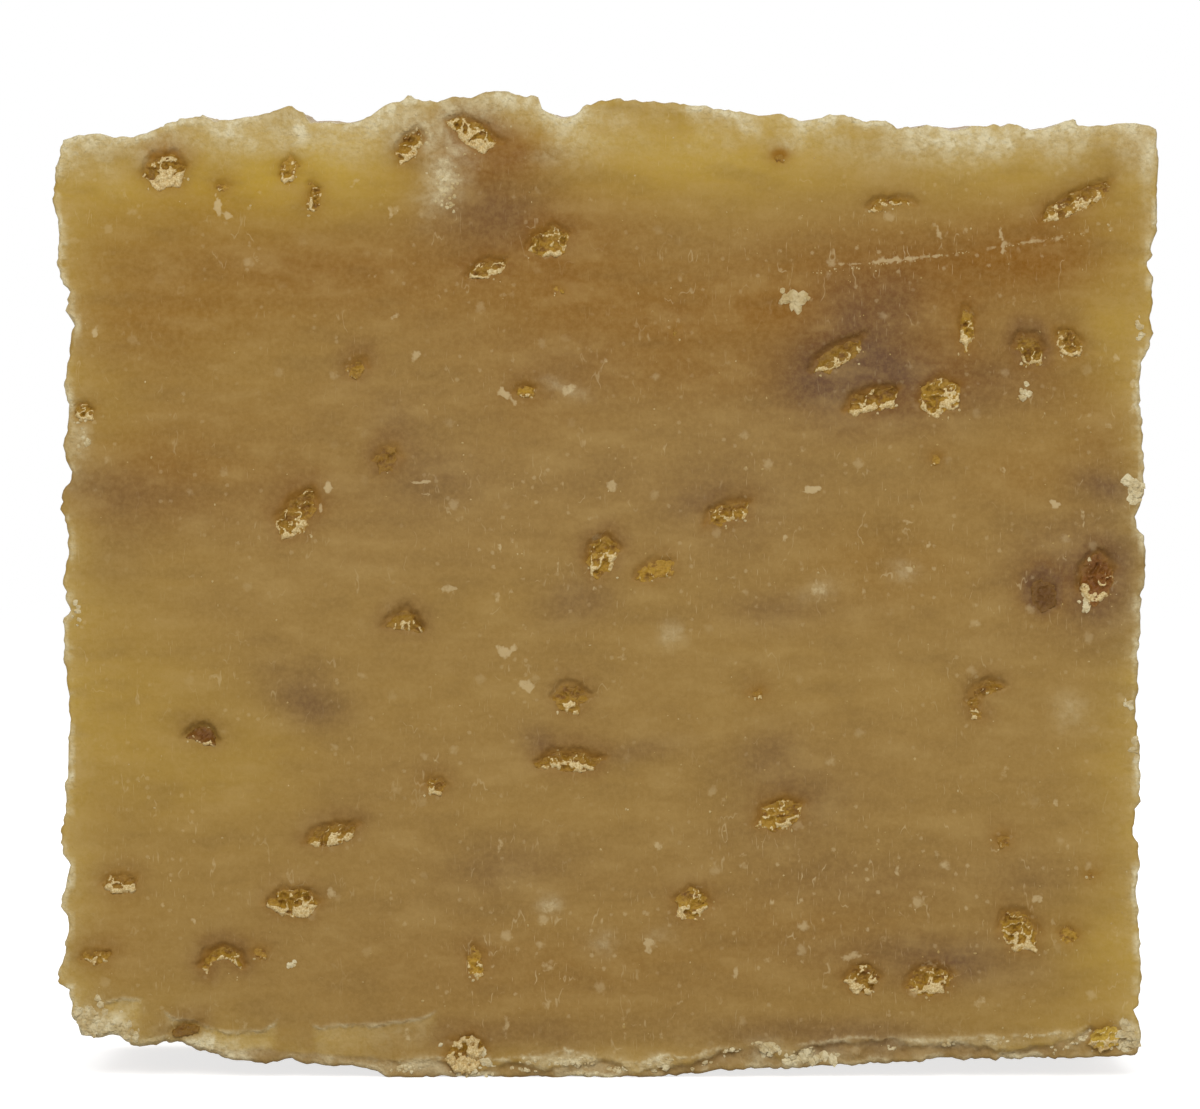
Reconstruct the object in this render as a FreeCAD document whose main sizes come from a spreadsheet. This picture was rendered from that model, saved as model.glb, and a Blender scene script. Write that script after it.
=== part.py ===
import FreeCAD, Part
import math
import os

import Sketcher

# A bar of handmade soap, cut by wire from a loaf, standing on its base.
# +X runs across the bar, +Y goes from the front cut face to the back one, and +Z is up.
# The origin is on the base, at the middle of the bar's width and thickness.
# The left, right and bottom faces were cast against a mould and the wavy top was poured open.
# Flakes of grain lie in the soap. Those that the cuts and the mould laid bare fill their own
# sockets, flush with the face, and some lie buried just under the front face.

# Driving dimensions in millimetres: alias, value, what it is.
SIZES = [
    ("bar_width", 77.8, "mould face to mould face"),
    ("bar_height", 69.0, "base to the level that the loaf was poured to"),
    ("bar_thickness", 25.0, "front cut to back cut"),
    ("top_rise", 2.5, "tallest wave of the poured top over its level"),
    ("corner_flare", 1.1, "how far the top corners bulge past the mould faces"),
    ("base_lift", 1.7, "how far the base curves up near the ends of its flat middle"),
    ("break_depth", 0.7, "how deep the front's lower edge is broken away"),
    ("break_height", 2.4, "highest point of that broken strip over the base"),
    ("flake_grade", 3.0, "sieve size of the grain flakes, which their lengths are multiples of"),
    ("flake_depth", 1.5, "how deep a flake of middling size reaches into the soap"),
    ("buried_depth", 2.8, "front face to the near side of the buried flakes"),
    ("buried_thickness", 1.0, "thickness of a buried flake"),
    ("trim_allowance", 2.0, "how far outside an uneven face its flakes start, before trimming"),
]

# The front face's outline, clockwise from the top left corner.
# Top: share of the width from the left mould face, then rise as a share of top_rise.
TOP_EDGE = [
    (-0.004, -0.49), (0.007, -0.32), (0.030, -0.22), (0.041, -0.35), (0.058, -0.32), (0.080, -0.15),
    (0.095, 0.12), (0.113, 0.26), (0.125, 0.30), (0.136, 0.13), (0.153, 0.19), (0.175, 0.29),
    (0.186, 0.38), (0.208, 0.55), (0.219, 0.41), (0.224, 0.12), (0.247, 0.13), (0.258, 0.06),
    (0.275, 0.20), (0.292, 0.55), (0.320, 0.84), (0.331, 0.72), (0.342, 0.70), (0.359, 0.84),
    (0.376, 0.81), (0.381, 0.94), (0.401, 1.00), (0.420, 0.87), (0.437, 0.88), (0.441, 0.52),
    (0.460, 0.26), (0.471, 0.32), (0.482, 0.61), (0.504, 0.75), (0.538, 0.71), (0.582, 0.61),
    (0.610, 0.46), (0.638, 0.29), (0.661, 0.36), (0.683, 0.12), (0.711, 0.33), (0.728, 0.29),
    (0.744, 0.09), (0.761, 0.16), (0.772, -0.13), (0.795, -0.02), (0.825, -0.12), (0.850, -0.03),
    (0.884, 0.03), (0.898, -0.14), (0.917, -0.03), (0.929, 0.14), (0.935, 0.17), (0.942, -0.03),
    (0.968, 0.00), (0.973, 0.07), (1.006, 0.03), (1.013, -0.12),
]
# Right side, downwards: share of the height, then reach past the mould face as a share of corner_flare.
RIGHT_EDGE = [
    (0.980, 1.00), (0.895, 1.00), (0.870, 0.60), (0.863, 0.74), (0.855, 0.28), (0.841, 0.67),
    (0.818, 0.74), (0.796, 0.54), (0.782, 0.66), (0.767, 0.47), (0.752, 0.00), (0.716, -0.18),
    (0.664, 0.08), (0.613, 0.14), (0.598, -0.18), (0.591, -0.45), (0.576, -0.32), (0.569, 0.14),
    (0.554, 0.28), (0.532, 0.14), (0.495, -0.12), (0.444, -0.25), (0.407, -0.32), (0.392, -0.45),
    (0.378, -0.45), (0.370, -0.25), (0.334, -0.12), (0.290, -0.12), (0.282, -0.38), (0.260, -0.51),
    (0.253, -0.51), (0.246, -0.32), (0.238, -0.18), (0.187, -0.38), (0.165, -0.18), (0.106, -0.05),
    (0.077, -0.18), (0.069, -0.65), (0.062, -0.25), (0.047, -0.12),
]
# Base, from right to left: share of the width, then lift as a share of base_lift.
# The bar stands on its flat middle.
BASE_EDGE = [
    (0.997, 0.94), (0.932, 0.85), (0.867, 0.77), (0.811, 0.76), (0.755, 0.60), (0.681, 0.38),
    (0.625, 0.34), (0.588, 0.21), (0.551, 0.00), (0.304, 0.00), (0.290, 0.13), (0.276, 0.34),
    (0.262, 0.47), (0.234, 0.47), (0.206, 0.77), (0.192, 0.60), (0.165, 0.68), (0.137, 0.98),
    (0.111, 1.28), (0.102, 1.49), (0.091, 1.53), (0.081, 1.32), (0.067, 1.32), (0.053, 1.49),
    (0.048, 1.79), (0.039, 1.87), (0.028, 1.66), (0.011, 1.79),
]
# Left side, upwards: share of the height, then reach past the mould face as a share of corner_flare.
LEFT_EDGE = [
    (0.048, -0.70), (0.070, -0.20), (0.092, -0.05), (0.100, 0.80), (0.107, 0.75), (0.129, 0.30),
    (0.166, 0.00), (0.180, 0.45), (0.224, 0.00), (0.246, 0.45), (0.291, 0.25), (0.371, 0.00),
    (0.430, 0.10), (0.438, 0.33), (0.482, 0.33), (0.489, -0.05), (0.518, 0.38), (0.562, 0.00),
    (0.592, 0.38), (0.614, 0.50), (0.628, -0.20), (0.665, 0.25), (0.709, 0.00), (0.731, 0.33),
    (0.768, 0.00), (0.790, -0.30), (0.805, 0.25), (0.827, -0.12), (0.834, 0.45), (0.842, 0.60),
    (0.856, 0.87), (0.886, 0.55), (0.900, 0.80), (0.915, 1.00), (0.959, 0.87), (0.970, 0.65),
]
# The outline at four depths: share of the thickness, then how much of the front's top waves, side relief
# and base lift is left there, and the height of the top's own roll as a share of top_rise.
SECTIONS = [
    ("front", 0.0, 1.0, 1.0, 1.0, 0.0),
    ("near_middle", 0.3, 0.7, 0.3, 0.9, 0.2),
    ("far_middle", 0.65, 0.4, 0.3, 0.8, 0.4),
    ("back", 1.0, 0.25, 0.8, 0.7, 0.4),
]
ROLLS_ACROSS = 1.3
ROLL_SHIFT = 0.45

# Ragged upper line of the broken strip, from left to right: share of the width, share of break_height.
BREAK_LINE = [
    (-0.050, 1.00), (0.040, 0.97), (0.092, 0.93), (0.140, 0.96), (0.185, 0.80), (0.225, 0.72),
    (0.262, 0.80), (0.310, 0.52), (0.365, 0.58), (0.420, 0.54), (0.470, 0.66), (0.520, 0.50),
    (0.575, 0.60), (0.620, 0.72), (0.665, 0.66), (0.705, 0.82), (0.750, 1.00), (0.800, 0.92),
    (0.850, 0.98), (0.905, 1.00), (1.050, 1.00),
]

# Flake outlines, as shares of the flake's length and width.
SLIVER = [(-0.50, -0.20), (-0.32, 0.35), (0.12, 0.50), (0.50, 0.25), (0.36, -0.38), (-0.18, -0.50)]
CHUNK = [(-0.50, -0.12), (-0.28, 0.42), (0.18, 0.50), (0.50, 0.14), (0.30, -0.44), (-0.22, -0.50)]
CURL = [
    (-0.50, -0.22), (-0.36, 0.30), (0.00, 0.50), (0.36, 0.34), (0.50, -0.10),
    (0.28, 0.02), (0.00, 0.14), (-0.22, 0.02), (-0.30, -0.50),
]
HULL = "half-moon"

# Flakes in the front face: share of the width from the left, share of the height, length and width as
# multiples of flake_grade, lean in degrees, depth as a multiple of flake_depth, outline.
FRONT_FLAKES = [
    (0.090, 0.951, 1.05, 0.85, 0, 1.1, CHUNK),
    (0.206, 0.951, 0.65, 0.42, 70, 0.7, SLIVER),
    (0.228, 0.923, 0.70, 0.35, 80, 0.7, SLIVER),
    (0.318, 0.976, 0.90, 0.45, 50, 0.8, SLIVER),
    (0.377, 0.991, 1.40, 0.60, -33, 1.2, SLIVER),
    (0.4465, 0.876, 1.00, 0.75, 10, 1.1, CHUNK),
    (0.390, 0.848, 1.05, 0.42, 15, 0.8, SLIVER),
    (0.767, 0.916, 1.10, 0.40, 0, 0.8, CURL),
    (0.937, 0.918, 2.00, 0.50, 24, 1.1, SLIVER),
    (0.716, 0.758, 1.50, 0.50, 28, 1.3, SLIVER),
    (0.748, 0.710, 1.35, 0.60, 12, 1.2, SLIVER),
    (0.811, 0.715, 1.10, 0.85, 20, 0.9, CHUNK),
    (0.8355, 0.785, 1.05, 0.35, 85, 0.9, SLIVER),
    (0.895, 0.764, 0.85, 0.60, -65, 1.2, CHUNK),
    (0.931, 0.771, 0.85, 0.55, -60, 0.8, CHUNK),
    (0.269, 0.745, 0.55, 0.42, 40, 0.7, CHUNK),
    (0.425, 0.720, 0.50, 0.34, 10, 0.6, CHUNK),
    (0.2975, 0.6485, 0.75, 0.55, 50, 0.9, CHUNK),
    (0.213, 0.591, 1.45, 0.75, 50, 1.0, CHUNK),
    (0.613, 0.591, 1.15, 0.50, 18, 1.1, SLIVER),
    (0.497, 0.547, 1.05, 0.70, 65, 1.0, CHUNK),
    (0.546, 0.532, 1.00, 0.50, 15, 0.9, SLIVER),
    (0.3115, 0.470, 0.90, 0.45, -4, 1.1, HULL),
    (0.122, 0.3515, 0.75, 0.38, -14, 1.1, HULL),
    (0.467, 0.398, 0.80, 0.72, -12, 0.9, CHUNK),
    (0.467, 0.3315, 1.60, 0.52, -4, 1.2, SLIVER),
    (0.853, 0.397, 1.05, 0.75, 40, 0.9, CURL),
    (0.907, 0.507, 0.80, 0.65, 80, 1.3, CHUNK),
    (0.957, 0.5225, 1.30, 0.80, 75, 1.2, CHUNK),
    (0.662, 0.276, 1.20, 0.72, 16, 1.0, CHUNK),
    (0.341, 0.3065, 0.55, 0.42, -10, 0.7, CHUNK),
    (0.2455, 0.255, 1.30, 0.48, 10, 1.0, SLIVER),
    (0.048, 0.2045, 0.85, 0.48, 0, 0.8, SLIVER),
    (0.209, 0.1825, 1.35, 0.68, -6, 1.0, CHUNK),
    (0.143, 0.1205, 1.00, 0.75, -6, 1.0, CURL),
    (0.025, 0.127, 0.72, 0.34, 0, 0.7, SLIVER),
    (0.3795, 0.1215, 0.75, 0.42, 82, 0.9, SLIVER),
    (0.5805, 0.1815, 0.85, 0.78, -25, 1.0, CHUNK),
    (0.885, 0.153, 1.20, 0.85, -62, 1.1, CHUNK),
    (0.739, 0.103, 0.80, 0.62, -8, 1.0, CHUNK),
    (0.802, 0.101, 1.15, 0.75, 6, 1.1, CHUNK),
    (0.1087, 0.0495, 0.85, 0.34, 12, 1.0, SLIVER),
]
# Flakes where the front face meets another one, trimmed to the bar's outline. Columns as above.
EDGE_FLAKES = [
    (0.015, 0.698, 0.55, 0.40, 8, 0.8, CHUNK),
    (0.369, 0.0245, 1.05, 0.90, 0, 1.3, CHUNK),
    (0.965, 0.043, 0.80, 0.60, 12, 1.2, CHUNK),
]
# The smallest flakes in the front face. Columns as above.
SMALL_FLAKES = [
    (0.144, 0.935, 0.30, 0.20, 0, 0.4, CHUNK),
    (0.457, 0.826, 0.32, 0.18, -35, 0.4, CHUNK),
    (0.566, 0.783, 0.32, 0.16, 80, 0.4, CHUNK),
    (0.641, 0.403, 0.36, 0.22, 0, 0.5, CHUNK),
    (0.869, 0.249, 0.36, 0.34, 20, 0.6, CHUNK),
    (0.931, 0.149, 0.50, 0.40, -30, 0.7, CHUNK),
    (0.178, 0.131, 0.34, 0.26, 10, 0.5, CHUNK),
    (0.8075, 0.6485, 0.26, 0.24, 0, 0.4, CHUNK),
    (0.662, 0.966, 0.30, 0.24, 0, 0.5, CHUNK),
    (0.952, 0.212, 0.24, 0.20, 0, 0.4, CHUNK),
]
# Flakes behind the front face, as the dark smudges that show through it. Columns as above, less the depth.
BURIED_FLAKES = [
    (0.216, 0.409, 1.40, 1.00, 20, CHUNK),
    (0.479, 0.502, 1.15, 0.80, -15, CHUNK),
    (0.402, 0.905, 1.60, 1.10, 30, CHUNK),
    (0.648, 0.342, 1.25, 0.80, 10, CHUNK),
    (0.532, 0.344, 1.10, 0.40, 5, SLIVER),
    (0.962, 0.620, 1.00, 0.55, -10, CHUNK),
    (0.927, 0.538, 1.30, 0.90, 25, CHUNK),
    (0.746, 0.797, 1.40, 1.10, 40, CHUNK),
    (0.322, 0.622, 1.15, 1.00, 0, CHUNK),
    (0.667, 0.491, 1.15, 0.50, 10, SLIVER),
    (0.062, 0.606, 1.50, 0.90, -10, CHUNK),
    (0.746, 0.208, 1.70, 0.70, 5, SLIVER),
    (0.411, 0.218, 1.40, 0.55, 0, SLIVER),
]
# Flakes in the back face: share of the width, share of the height, then the columns as in the front.
BACK_FLAKES = [
    (0.08, 0.90, 1.10, 0.60, 20, 0.9, CHUNK),
    (0.27, 0.82, 0.80, 0.42, -30, 0.8, SLIVER),
    (0.45, 0.91, 1.20, 0.50, 8, 1.0, SLIVER),
    (0.66, 0.86, 0.75, 0.60, 0, 0.9, CHUNK),
    (0.88, 0.78, 1.30, 0.55, 65, 1.0, SLIVER),
    (0.15, 0.66, 0.70, 0.36, -5, 0.9, HULL),
    (0.36, 0.62, 1.40, 0.60, 25, 1.1, CHUNK),
    (0.58, 0.68, 0.90, 0.50, 75, 0.8, SLIVER),
    (0.76, 0.55, 1.05, 0.70, -20, 1.0, CURL),
    (0.07, 0.42, 0.95, 0.55, 10, 0.9, CHUNK),
    (0.28, 0.38, 1.20, 0.46, -12, 0.9, SLIVER),
    (0.50, 0.44, 0.60, 0.45, 35, 0.7, CHUNK),
    (0.91, 0.40, 0.85, 0.60, 50, 0.9, CHUNK),
    (0.18, 0.16, 1.30, 0.60, 0, 1.0, CHUNK),
    (0.41, 0.20, 0.90, 0.70, -40, 1.0, CURL),
    (0.63, 0.27, 1.35, 0.50, 14, 1.0, SLIVER),
    (0.79, 0.15, 0.80, 0.55, 0, 0.9, CHUNK),
    (0.56, 0.10, 0.55, 0.40, 60, 0.7, CHUNK),
]
# Flakes in the mould faces: share of the thickness from the front, share of the height, then as above.
LEFT_FLAKES = [
    (0.46, 0.83, 0.90, 0.50, 30, 0.8, CHUNK),
    (0.62, 0.52, 1.10, 0.45, -15, 0.9, SLIVER),
    (0.38, 0.27, 0.75, 0.50, 5, 0.8, CHUNK),
]
RIGHT_FLAKES = [
    (0.55, 0.68, 1.00, 0.50, 60, 0.9, SLIVER),
    (0.42, 0.40, 0.80, 0.60, 0, 0.8, CHUNK),
    (0.60, 0.14, 1.15, 0.48, 20, 0.9, SLIVER),
]
# Flakes in the poured top: share of the width from the left, share of the thickness, then as above.
TOP_FLAKES = [
    (0.16, 0.55, 1.00, 0.60, 20, 0.9, CHUNK),
    (0.35, 0.70, 0.80, 0.45, -40, 0.8, SLIVER),
    (0.57, 0.45, 1.20, 0.55, 10, 0.9, SLIVER),
    (0.81, 0.60, 0.90, 0.65, 75, 0.9, CHUNK),
]


def make_sheet(doc):
    """The spreadsheet with the driving dimensions, one alias to a row."""
    sheet = doc.addObject("Spreadsheet::Sheet", "Sizes")
    for row, (alias, value, note) in enumerate(SIZES, start=1):
        sheet.set(f"A{row}", alias)
        sheet.set(f"B{row}", str(value))
        sheet.set(f"C{row}", note)
        sheet.setAlias(f"B{row}", alias)
    doc.recompute()
    return sheet


def outline_points(sheet, depth, top_left, side_left, base_left, roll):
    """Corners of the bar's outline at one depth, as (x, z), clockwise from the top left."""
    width, height = sheet.bar_width, sheet.bar_height
    points = []
    for across, rise in TOP_EDGE:
        phase = 2 * math.pi * (ROLLS_ACROSS * across + ROLL_SHIFT * depth)
        own_wave = roll * (1 + math.sin(phase)) / 2
        points.append(((across - 0.5) * width, height + sheet.top_rise * (rise * top_left + own_wave)))
    for up, reach in RIGHT_EDGE:
        points.append((width / 2 + sheet.corner_flare * reach * side_left, up * height))
    for across, lift in BASE_EDGE:
        points.append(((across - 0.5) * width, sheet.base_lift * lift * base_left))
    for up, reach in LEFT_EDGE:
        points.append((-width / 2 - sheet.corner_flare * reach * side_left, up * height))
    return points


def polygon_feature(doc, name, points, y):
    """A closed polygon across the bar, at one depth."""
    corners = [FreeCAD.Vector(x, y, z) for x, z in points]
    feature = doc.addObject("Part::Feature", name)
    feature.Shape = Part.makePolygon(corners + corners[:1])
    return feature


def make_blank(doc, sheet):
    """The soap itself, before its sockets are cut: ruled between the outlines at four depths."""
    wires = []
    for name, depth, top_left, side_left, base_left, roll in SECTIONS:
        points = outline_points(sheet, depth, top_left, side_left, base_left, roll)
        y = (depth - 0.5) * sheet.bar_thickness
        wires.append(polygon_feature(doc, f"outline_{name}", points, y))
    blank = doc.addObject("Part::Loft", "soap_blank")
    blank.Sections = wires
    blank.Solid = True
    blank.Ruled = True
    return blank


def make_edge_break(doc, sheet):
    """The strip broken away along the front's lower edge, as the solid to cut off."""
    above = [((across - 0.5) * sheet.bar_width, up * sheet.break_height) for across, up in BREAK_LINE]
    below = [(above[-1][0], -sheet.break_height), (above[0][0], -sheet.break_height)]
    outline = polygon_feature(doc, "outline_edge_break", above + below, -sheet.bar_thickness / 2)
    strip = doc.addObject("Part::Extrusion", "edge_break")
    strip.Base = outline
    strip.DirMode = "Custom"
    strip.Dir = FreeCAD.Vector(0, 1, 0)
    strip.Solid = True
    strip.setExpression("LengthFwd", "Sizes.break_depth")
    return strip


def add_polygon(sketch, outline, long_factor, wide_factor):
    """Draws a flake's straight-sided outline, each corner bound to the flake grade."""
    count = len(outline)
    corners = [FreeCAD.Vector(along * long_factor, aside * wide_factor, 0) for along, aside in outline]
    sketch.addGeometry([Part.LineSegment(corners[i], corners[(i + 1) % count]) for i in range(count)], False)
    sketch.addConstraint([Sketcher.Constraint("Coincident", i, 2, (i + 1) % count, 1) for i in range(count)])
    for i, (along, aside) in enumerate(outline):
        for direction, share in (("DistanceX", along * long_factor), ("DistanceY", aside * wide_factor)):
            if share:
                index = sketch.addConstraint(Sketcher.Constraint(direction, -1, 1, i, 1, share))
                sketch.setExpression(f"Constraints[{index}]", f"Sizes.flake_grade * {share:.4f}")
            else:
                axis = -2 if direction == "DistanceX" else -1
                sketch.addConstraint(Sketcher.Constraint("PointOnObject", i, 1, axis))


def add_half_moon(sketch, long_factor):
    """Draws a half-moon, flat side down, its radius bound to the flake grade."""
    centre, up = FreeCAD.Vector(0, 0, 0), FreeCAD.Vector(0, 0, 1)
    circle = Part.Circle(centre, up, long_factor / 2)
    arc = sketch.addGeometry(Part.ArcOfCircle(circle, 0, math.pi), False)
    ends = FreeCAD.Vector(-long_factor / 2, 0, 0), FreeCAD.Vector(long_factor / 2, 0, 0)
    chord = sketch.addGeometry(Part.LineSegment(*ends), False)
    sketch.addConstraint([
        Sketcher.Constraint("Coincident", arc, 3, -1, 1),
        Sketcher.Constraint("Coincident", arc, 2, chord, 1),
        Sketcher.Constraint("Coincident", arc, 1, chord, 2),
        Sketcher.Constraint("PointOnObject", arc, 1, -1),
        Sketcher.Constraint("PointOnObject", arc, 2, -1),
    ])
    radius = sketch.addConstraint(Sketcher.Constraint("Radius", arc, long_factor / 2))
    sketch.setExpression(f"Constraints[{radius}]", f"Sizes.flake_grade * {long_factor / 2:.4f}")


def make_flake(doc, name, place, facing, long_factor, wide_factor, lean, depth, outline, starts_outside="0"):
    """One flake: its outline drawn on the face, padded into the soap.

    place holds the expressions for x, y and z, facing turns the front's direction to the face's own, and
    depth and starts_outside are expressions for how far the flake reaches in and starts outside the face.
    """
    body = doc.addObject("PartDesign::Body", name)
    sketch = body.newObject("Sketcher::SketchObject", f"outline_{name}")
    face_plane = next(f for f in body.Origin.OriginFeatures if f.Role == "XZ_Plane")
    sketch.AttachmentSupport = [(face_plane, "")]
    sketch.MapMode = "FlatFace"
    if outline is HULL:
        add_half_moon(sketch, long_factor)
    else:
        add_polygon(sketch, outline, long_factor, wide_factor)
    pad = body.newObject("PartDesign::Pad", f"depth_{name}")
    pad.Profile = sketch
    pad.Reversed = True
    pad.setExpression("Length", f"{depth} + {starts_outside}")
    leaning = FreeCAD.Rotation(FreeCAD.Vector(0, -1, 0), lean)
    body.Placement = FreeCAD.Placement(FreeCAD.Vector(), facing * leaning)
    outwards = facing * FreeCAD.Vector(0, -1, 0)
    for axis, expression, out in zip("xyz", place, outwards):
        shift = f" + ({starts_outside}) * {round(out)}" if starts_outside != "0" else ""
        body.setExpression(f"Placement.Base.{axis}", expression + shift)
    return body


def trimmed(doc, name, untrimmed, blank):
    """What lies inside the bar of one flake or of a group, so that it ends flush with an uneven face."""
    kept = doc.addObject("Part::Common", name)
    kept.Base = untrimmed
    kept.Tool = blank
    return kept


FRONT = FreeCAD.Rotation()
BACK = FreeCAD.Rotation(FreeCAD.Vector(0, 0, 1), 180)
LEFT = FreeCAD.Rotation(FreeCAD.Vector(0, 0, 1), -90)
RIGHT = FreeCAD.Rotation(FreeCAD.Vector(0, 0, 1), 90)
TOP = FreeCAD.Rotation(FreeCAD.Vector(1, 0, 0), -90)

ACROSS = "Sizes.bar_width * ({0} - 0.5)"
UP = "Sizes.bar_height * {0}"
INTO = "Sizes.bar_thickness * ({0} - 0.5)"


def front_flake(doc, name, row, blank=None):
    """A flake in the front face, trimmed to the bar where a blank is given."""
    across, up, long_factor, wide_factor, lean, depth, outline = row
    place = ACROSS.format(across), INTO.format(0), UP.format(up)
    raw_name = f"untrimmed_{name}" if blank else name
    reach = f"Sizes.flake_depth * {depth}"
    flake = make_flake(doc, raw_name, place, FRONT, long_factor, wide_factor, lean, reach, outline)
    return trimmed(doc, name, flake, blank) if blank else flake


def buried_flake(doc, name, row):
    """A flake that lies whole in the soap, parallel to the front face."""
    across, up, long_factor, wide_factor, lean, outline = row
    y = INTO.format(0) + " + Sizes.buried_depth"
    place = ACROSS.format(across), y, UP.format(up)
    reach = "Sizes.buried_thickness"
    return make_flake(doc, name, place, FRONT, long_factor, wide_factor, lean, reach, outline)


def back_flake(doc, name, row):
    """A flake in the flat back face."""
    across, up, long_factor, wide_factor, lean, depth, outline = row
    place = ACROSS.format(across), INTO.format(1), UP.format(up)
    reach = f"Sizes.flake_depth * {depth}"
    return make_flake(doc, name, place, BACK, long_factor, wide_factor, lean, reach, outline)


def side_flake(doc, name, row, facing):
    """A flake in a mould face or in the poured top, which starts outside that uneven face."""
    first, second, long_factor, wide_factor, lean, depth, outline = row
    if facing is TOP:
        place = ACROSS.format(first), INTO.format(second), "Sizes.bar_height"
    else:
        side = 1 if facing is RIGHT else -1
        place = f"Sizes.bar_width / 2 * {side}", INTO.format(first), UP.format(second)
    reach = f"Sizes.flake_depth * {depth}"
    start = "Sizes.trim_allowance" if facing is not TOP else "Sizes.trim_allowance + Sizes.top_rise"
    return make_flake(doc, name, place, facing, long_factor, wide_factor, lean, reach, outline, start)


def make_group(doc, name, members):
    """Several separate flakes under one name."""
    group = doc.addObject("Part::Compound", name)
    group.Links = members
    return group


def make_soap(doc, blank, edge_break, flakes):
    """The bar of soap: the blank less its broken edge and the sockets that the flakes fill."""
    broken = doc.addObject("Part::Cut", "broken_blank")
    broken.Base = blank
    broken.Tool = edge_break
    sockets = make_group(doc, "flake_sockets", flakes)
    soap = doc.addObject("Part::Cut", "soap_bar")
    soap.Base = broken
    soap.Tool = sockets
    return soap


def check(doc, parts):
    """Stops the script if anything in the document failed, or a part isn't a set of sound solids."""
    failed = [o.Name for o in doc.Objects if "Invalid" in o.State or "Error" in o.State]
    if failed:
        raise RuntimeError(f"these objects failed: {failed}")
    for part in parts:
        shape = part.Shape
        if shape.isNull() or not shape.isValid() or not shape.Solids:
            raise RuntimeError(f"{part.Label} isn't a valid solid")


def main():
    doc = FreeCAD.newDocument("soap")
    sheet = make_sheet(doc)
    blank = make_blank(doc, sheet)
    edge_break = make_edge_break(doc, sheet)

    parts = []
    for number, row in enumerate(FRONT_FLAKES, start=1):
        parts.append(front_flake(doc, f"grain_flake_{number:02d}", row))
    for number, row in enumerate(EDGE_FLAKES, start=1):
        parts.append(front_flake(doc, f"edge_flake_{number}", row, blank))
    small = [front_flake(doc, f"small_flake_{n}", row) for n, row in enumerate(SMALL_FLAKES, start=1)]
    parts.append(make_group(doc, "small_flakes", small))
    buried = [buried_flake(doc, f"buried_flake_{n}", row) for n, row in enumerate(BURIED_FLAKES, start=1)]
    parts.append(make_group(doc, "buried_flakes", buried))
    back = [back_flake(doc, f"back_flake_{n}", row) for n, row in enumerate(BACK_FLAKES, start=1)]
    parts.append(make_group(doc, "back_flakes", back))
    for side, rows, facing in (
        ("left", LEFT_FLAKES, LEFT),
        ("right", RIGHT_FLAKES, RIGHT),
        ("top", TOP_FLAKES, TOP),
    ):
        raw = [side_flake(doc, f"{side}_flake_{n}", row, facing) for n, row in enumerate(rows, start=1)]
        parts.append(trimmed(doc, f"{side}_flakes", make_group(doc, f"untrimmed_{side}_flakes", raw), blank))

    soap = make_soap(doc, blank, edge_break, list(parts))
    parts.insert(0, soap)
    doc.recompute()
    check(doc, parts)

    os.makedirs("parts", exist_ok=True)
    for part in parts:
        part.Shape.exportStep(f"parts/{part.Label}.step")
        print(f"{part.Label}: {len(part.Shape.Solids)} solid(s), {part.Shape.Volume:.2f} mm3")
    box = soap.Shape.BoundBox
    print(f"bar: x {box.XMin:.2f} to {box.XMax:.2f}, z {box.ZMin:.2f} to {box.ZMax:.2f}")


main()
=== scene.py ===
import math

import bpy
import numpy as np
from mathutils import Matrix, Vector
from mathutils.geometry import delaunay_2d_cdt


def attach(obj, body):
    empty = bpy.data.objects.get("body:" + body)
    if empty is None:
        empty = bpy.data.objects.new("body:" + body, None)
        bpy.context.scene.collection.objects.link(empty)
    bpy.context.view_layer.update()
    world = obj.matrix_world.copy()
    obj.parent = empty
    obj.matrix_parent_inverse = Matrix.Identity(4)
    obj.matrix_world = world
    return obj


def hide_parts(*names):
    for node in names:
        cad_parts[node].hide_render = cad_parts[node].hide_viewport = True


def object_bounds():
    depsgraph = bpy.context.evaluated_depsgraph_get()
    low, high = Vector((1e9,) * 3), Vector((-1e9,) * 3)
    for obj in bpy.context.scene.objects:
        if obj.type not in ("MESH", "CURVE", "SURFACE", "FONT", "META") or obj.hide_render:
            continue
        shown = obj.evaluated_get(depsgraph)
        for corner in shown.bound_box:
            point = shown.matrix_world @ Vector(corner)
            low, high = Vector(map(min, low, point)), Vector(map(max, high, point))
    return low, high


# A bar of handmade soap with flakes of grain in it.
# All making is in millimetres, in the frame's own directions, and meshes are turned into metres at the end.
# Depths are counted into the soap from a face: positive is sunk, negative stands proud.

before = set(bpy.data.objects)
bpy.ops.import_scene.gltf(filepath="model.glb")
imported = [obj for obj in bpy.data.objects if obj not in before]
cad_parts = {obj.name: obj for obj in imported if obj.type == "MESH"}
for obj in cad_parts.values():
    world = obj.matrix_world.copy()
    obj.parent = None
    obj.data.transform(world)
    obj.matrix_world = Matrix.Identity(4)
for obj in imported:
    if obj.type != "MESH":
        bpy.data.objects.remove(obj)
cad_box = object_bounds()
PER_METRE = 1000
LOW, HIGH = [np.array(corner) * PER_METRE for corner in cad_box]
FRONT_Y, BACK_Y = LOW[1], HIGH[1]
THICKNESS = BACK_Y - FRONT_Y
WIDTH = HIGH[0] - LOW[0]

# The bar's left side, right side and foot in the 1200 by 1109 photograph, in pixels.
PHOTO_LEFT, PHOTO_RIGHT, PHOTO_FOOT = 53, 1158, 1078
PIXEL = WIDTH / (PHOTO_RIGHT - PHOTO_LEFT)


def spot(px, py):
    """A pixel of the photograph, as millimetres across and up the bar's front."""
    return LOW[0] + (px - PHOTO_LEFT) * PIXEL, LOW[2] + (PHOTO_FOOT - py) * PIXEL


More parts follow.
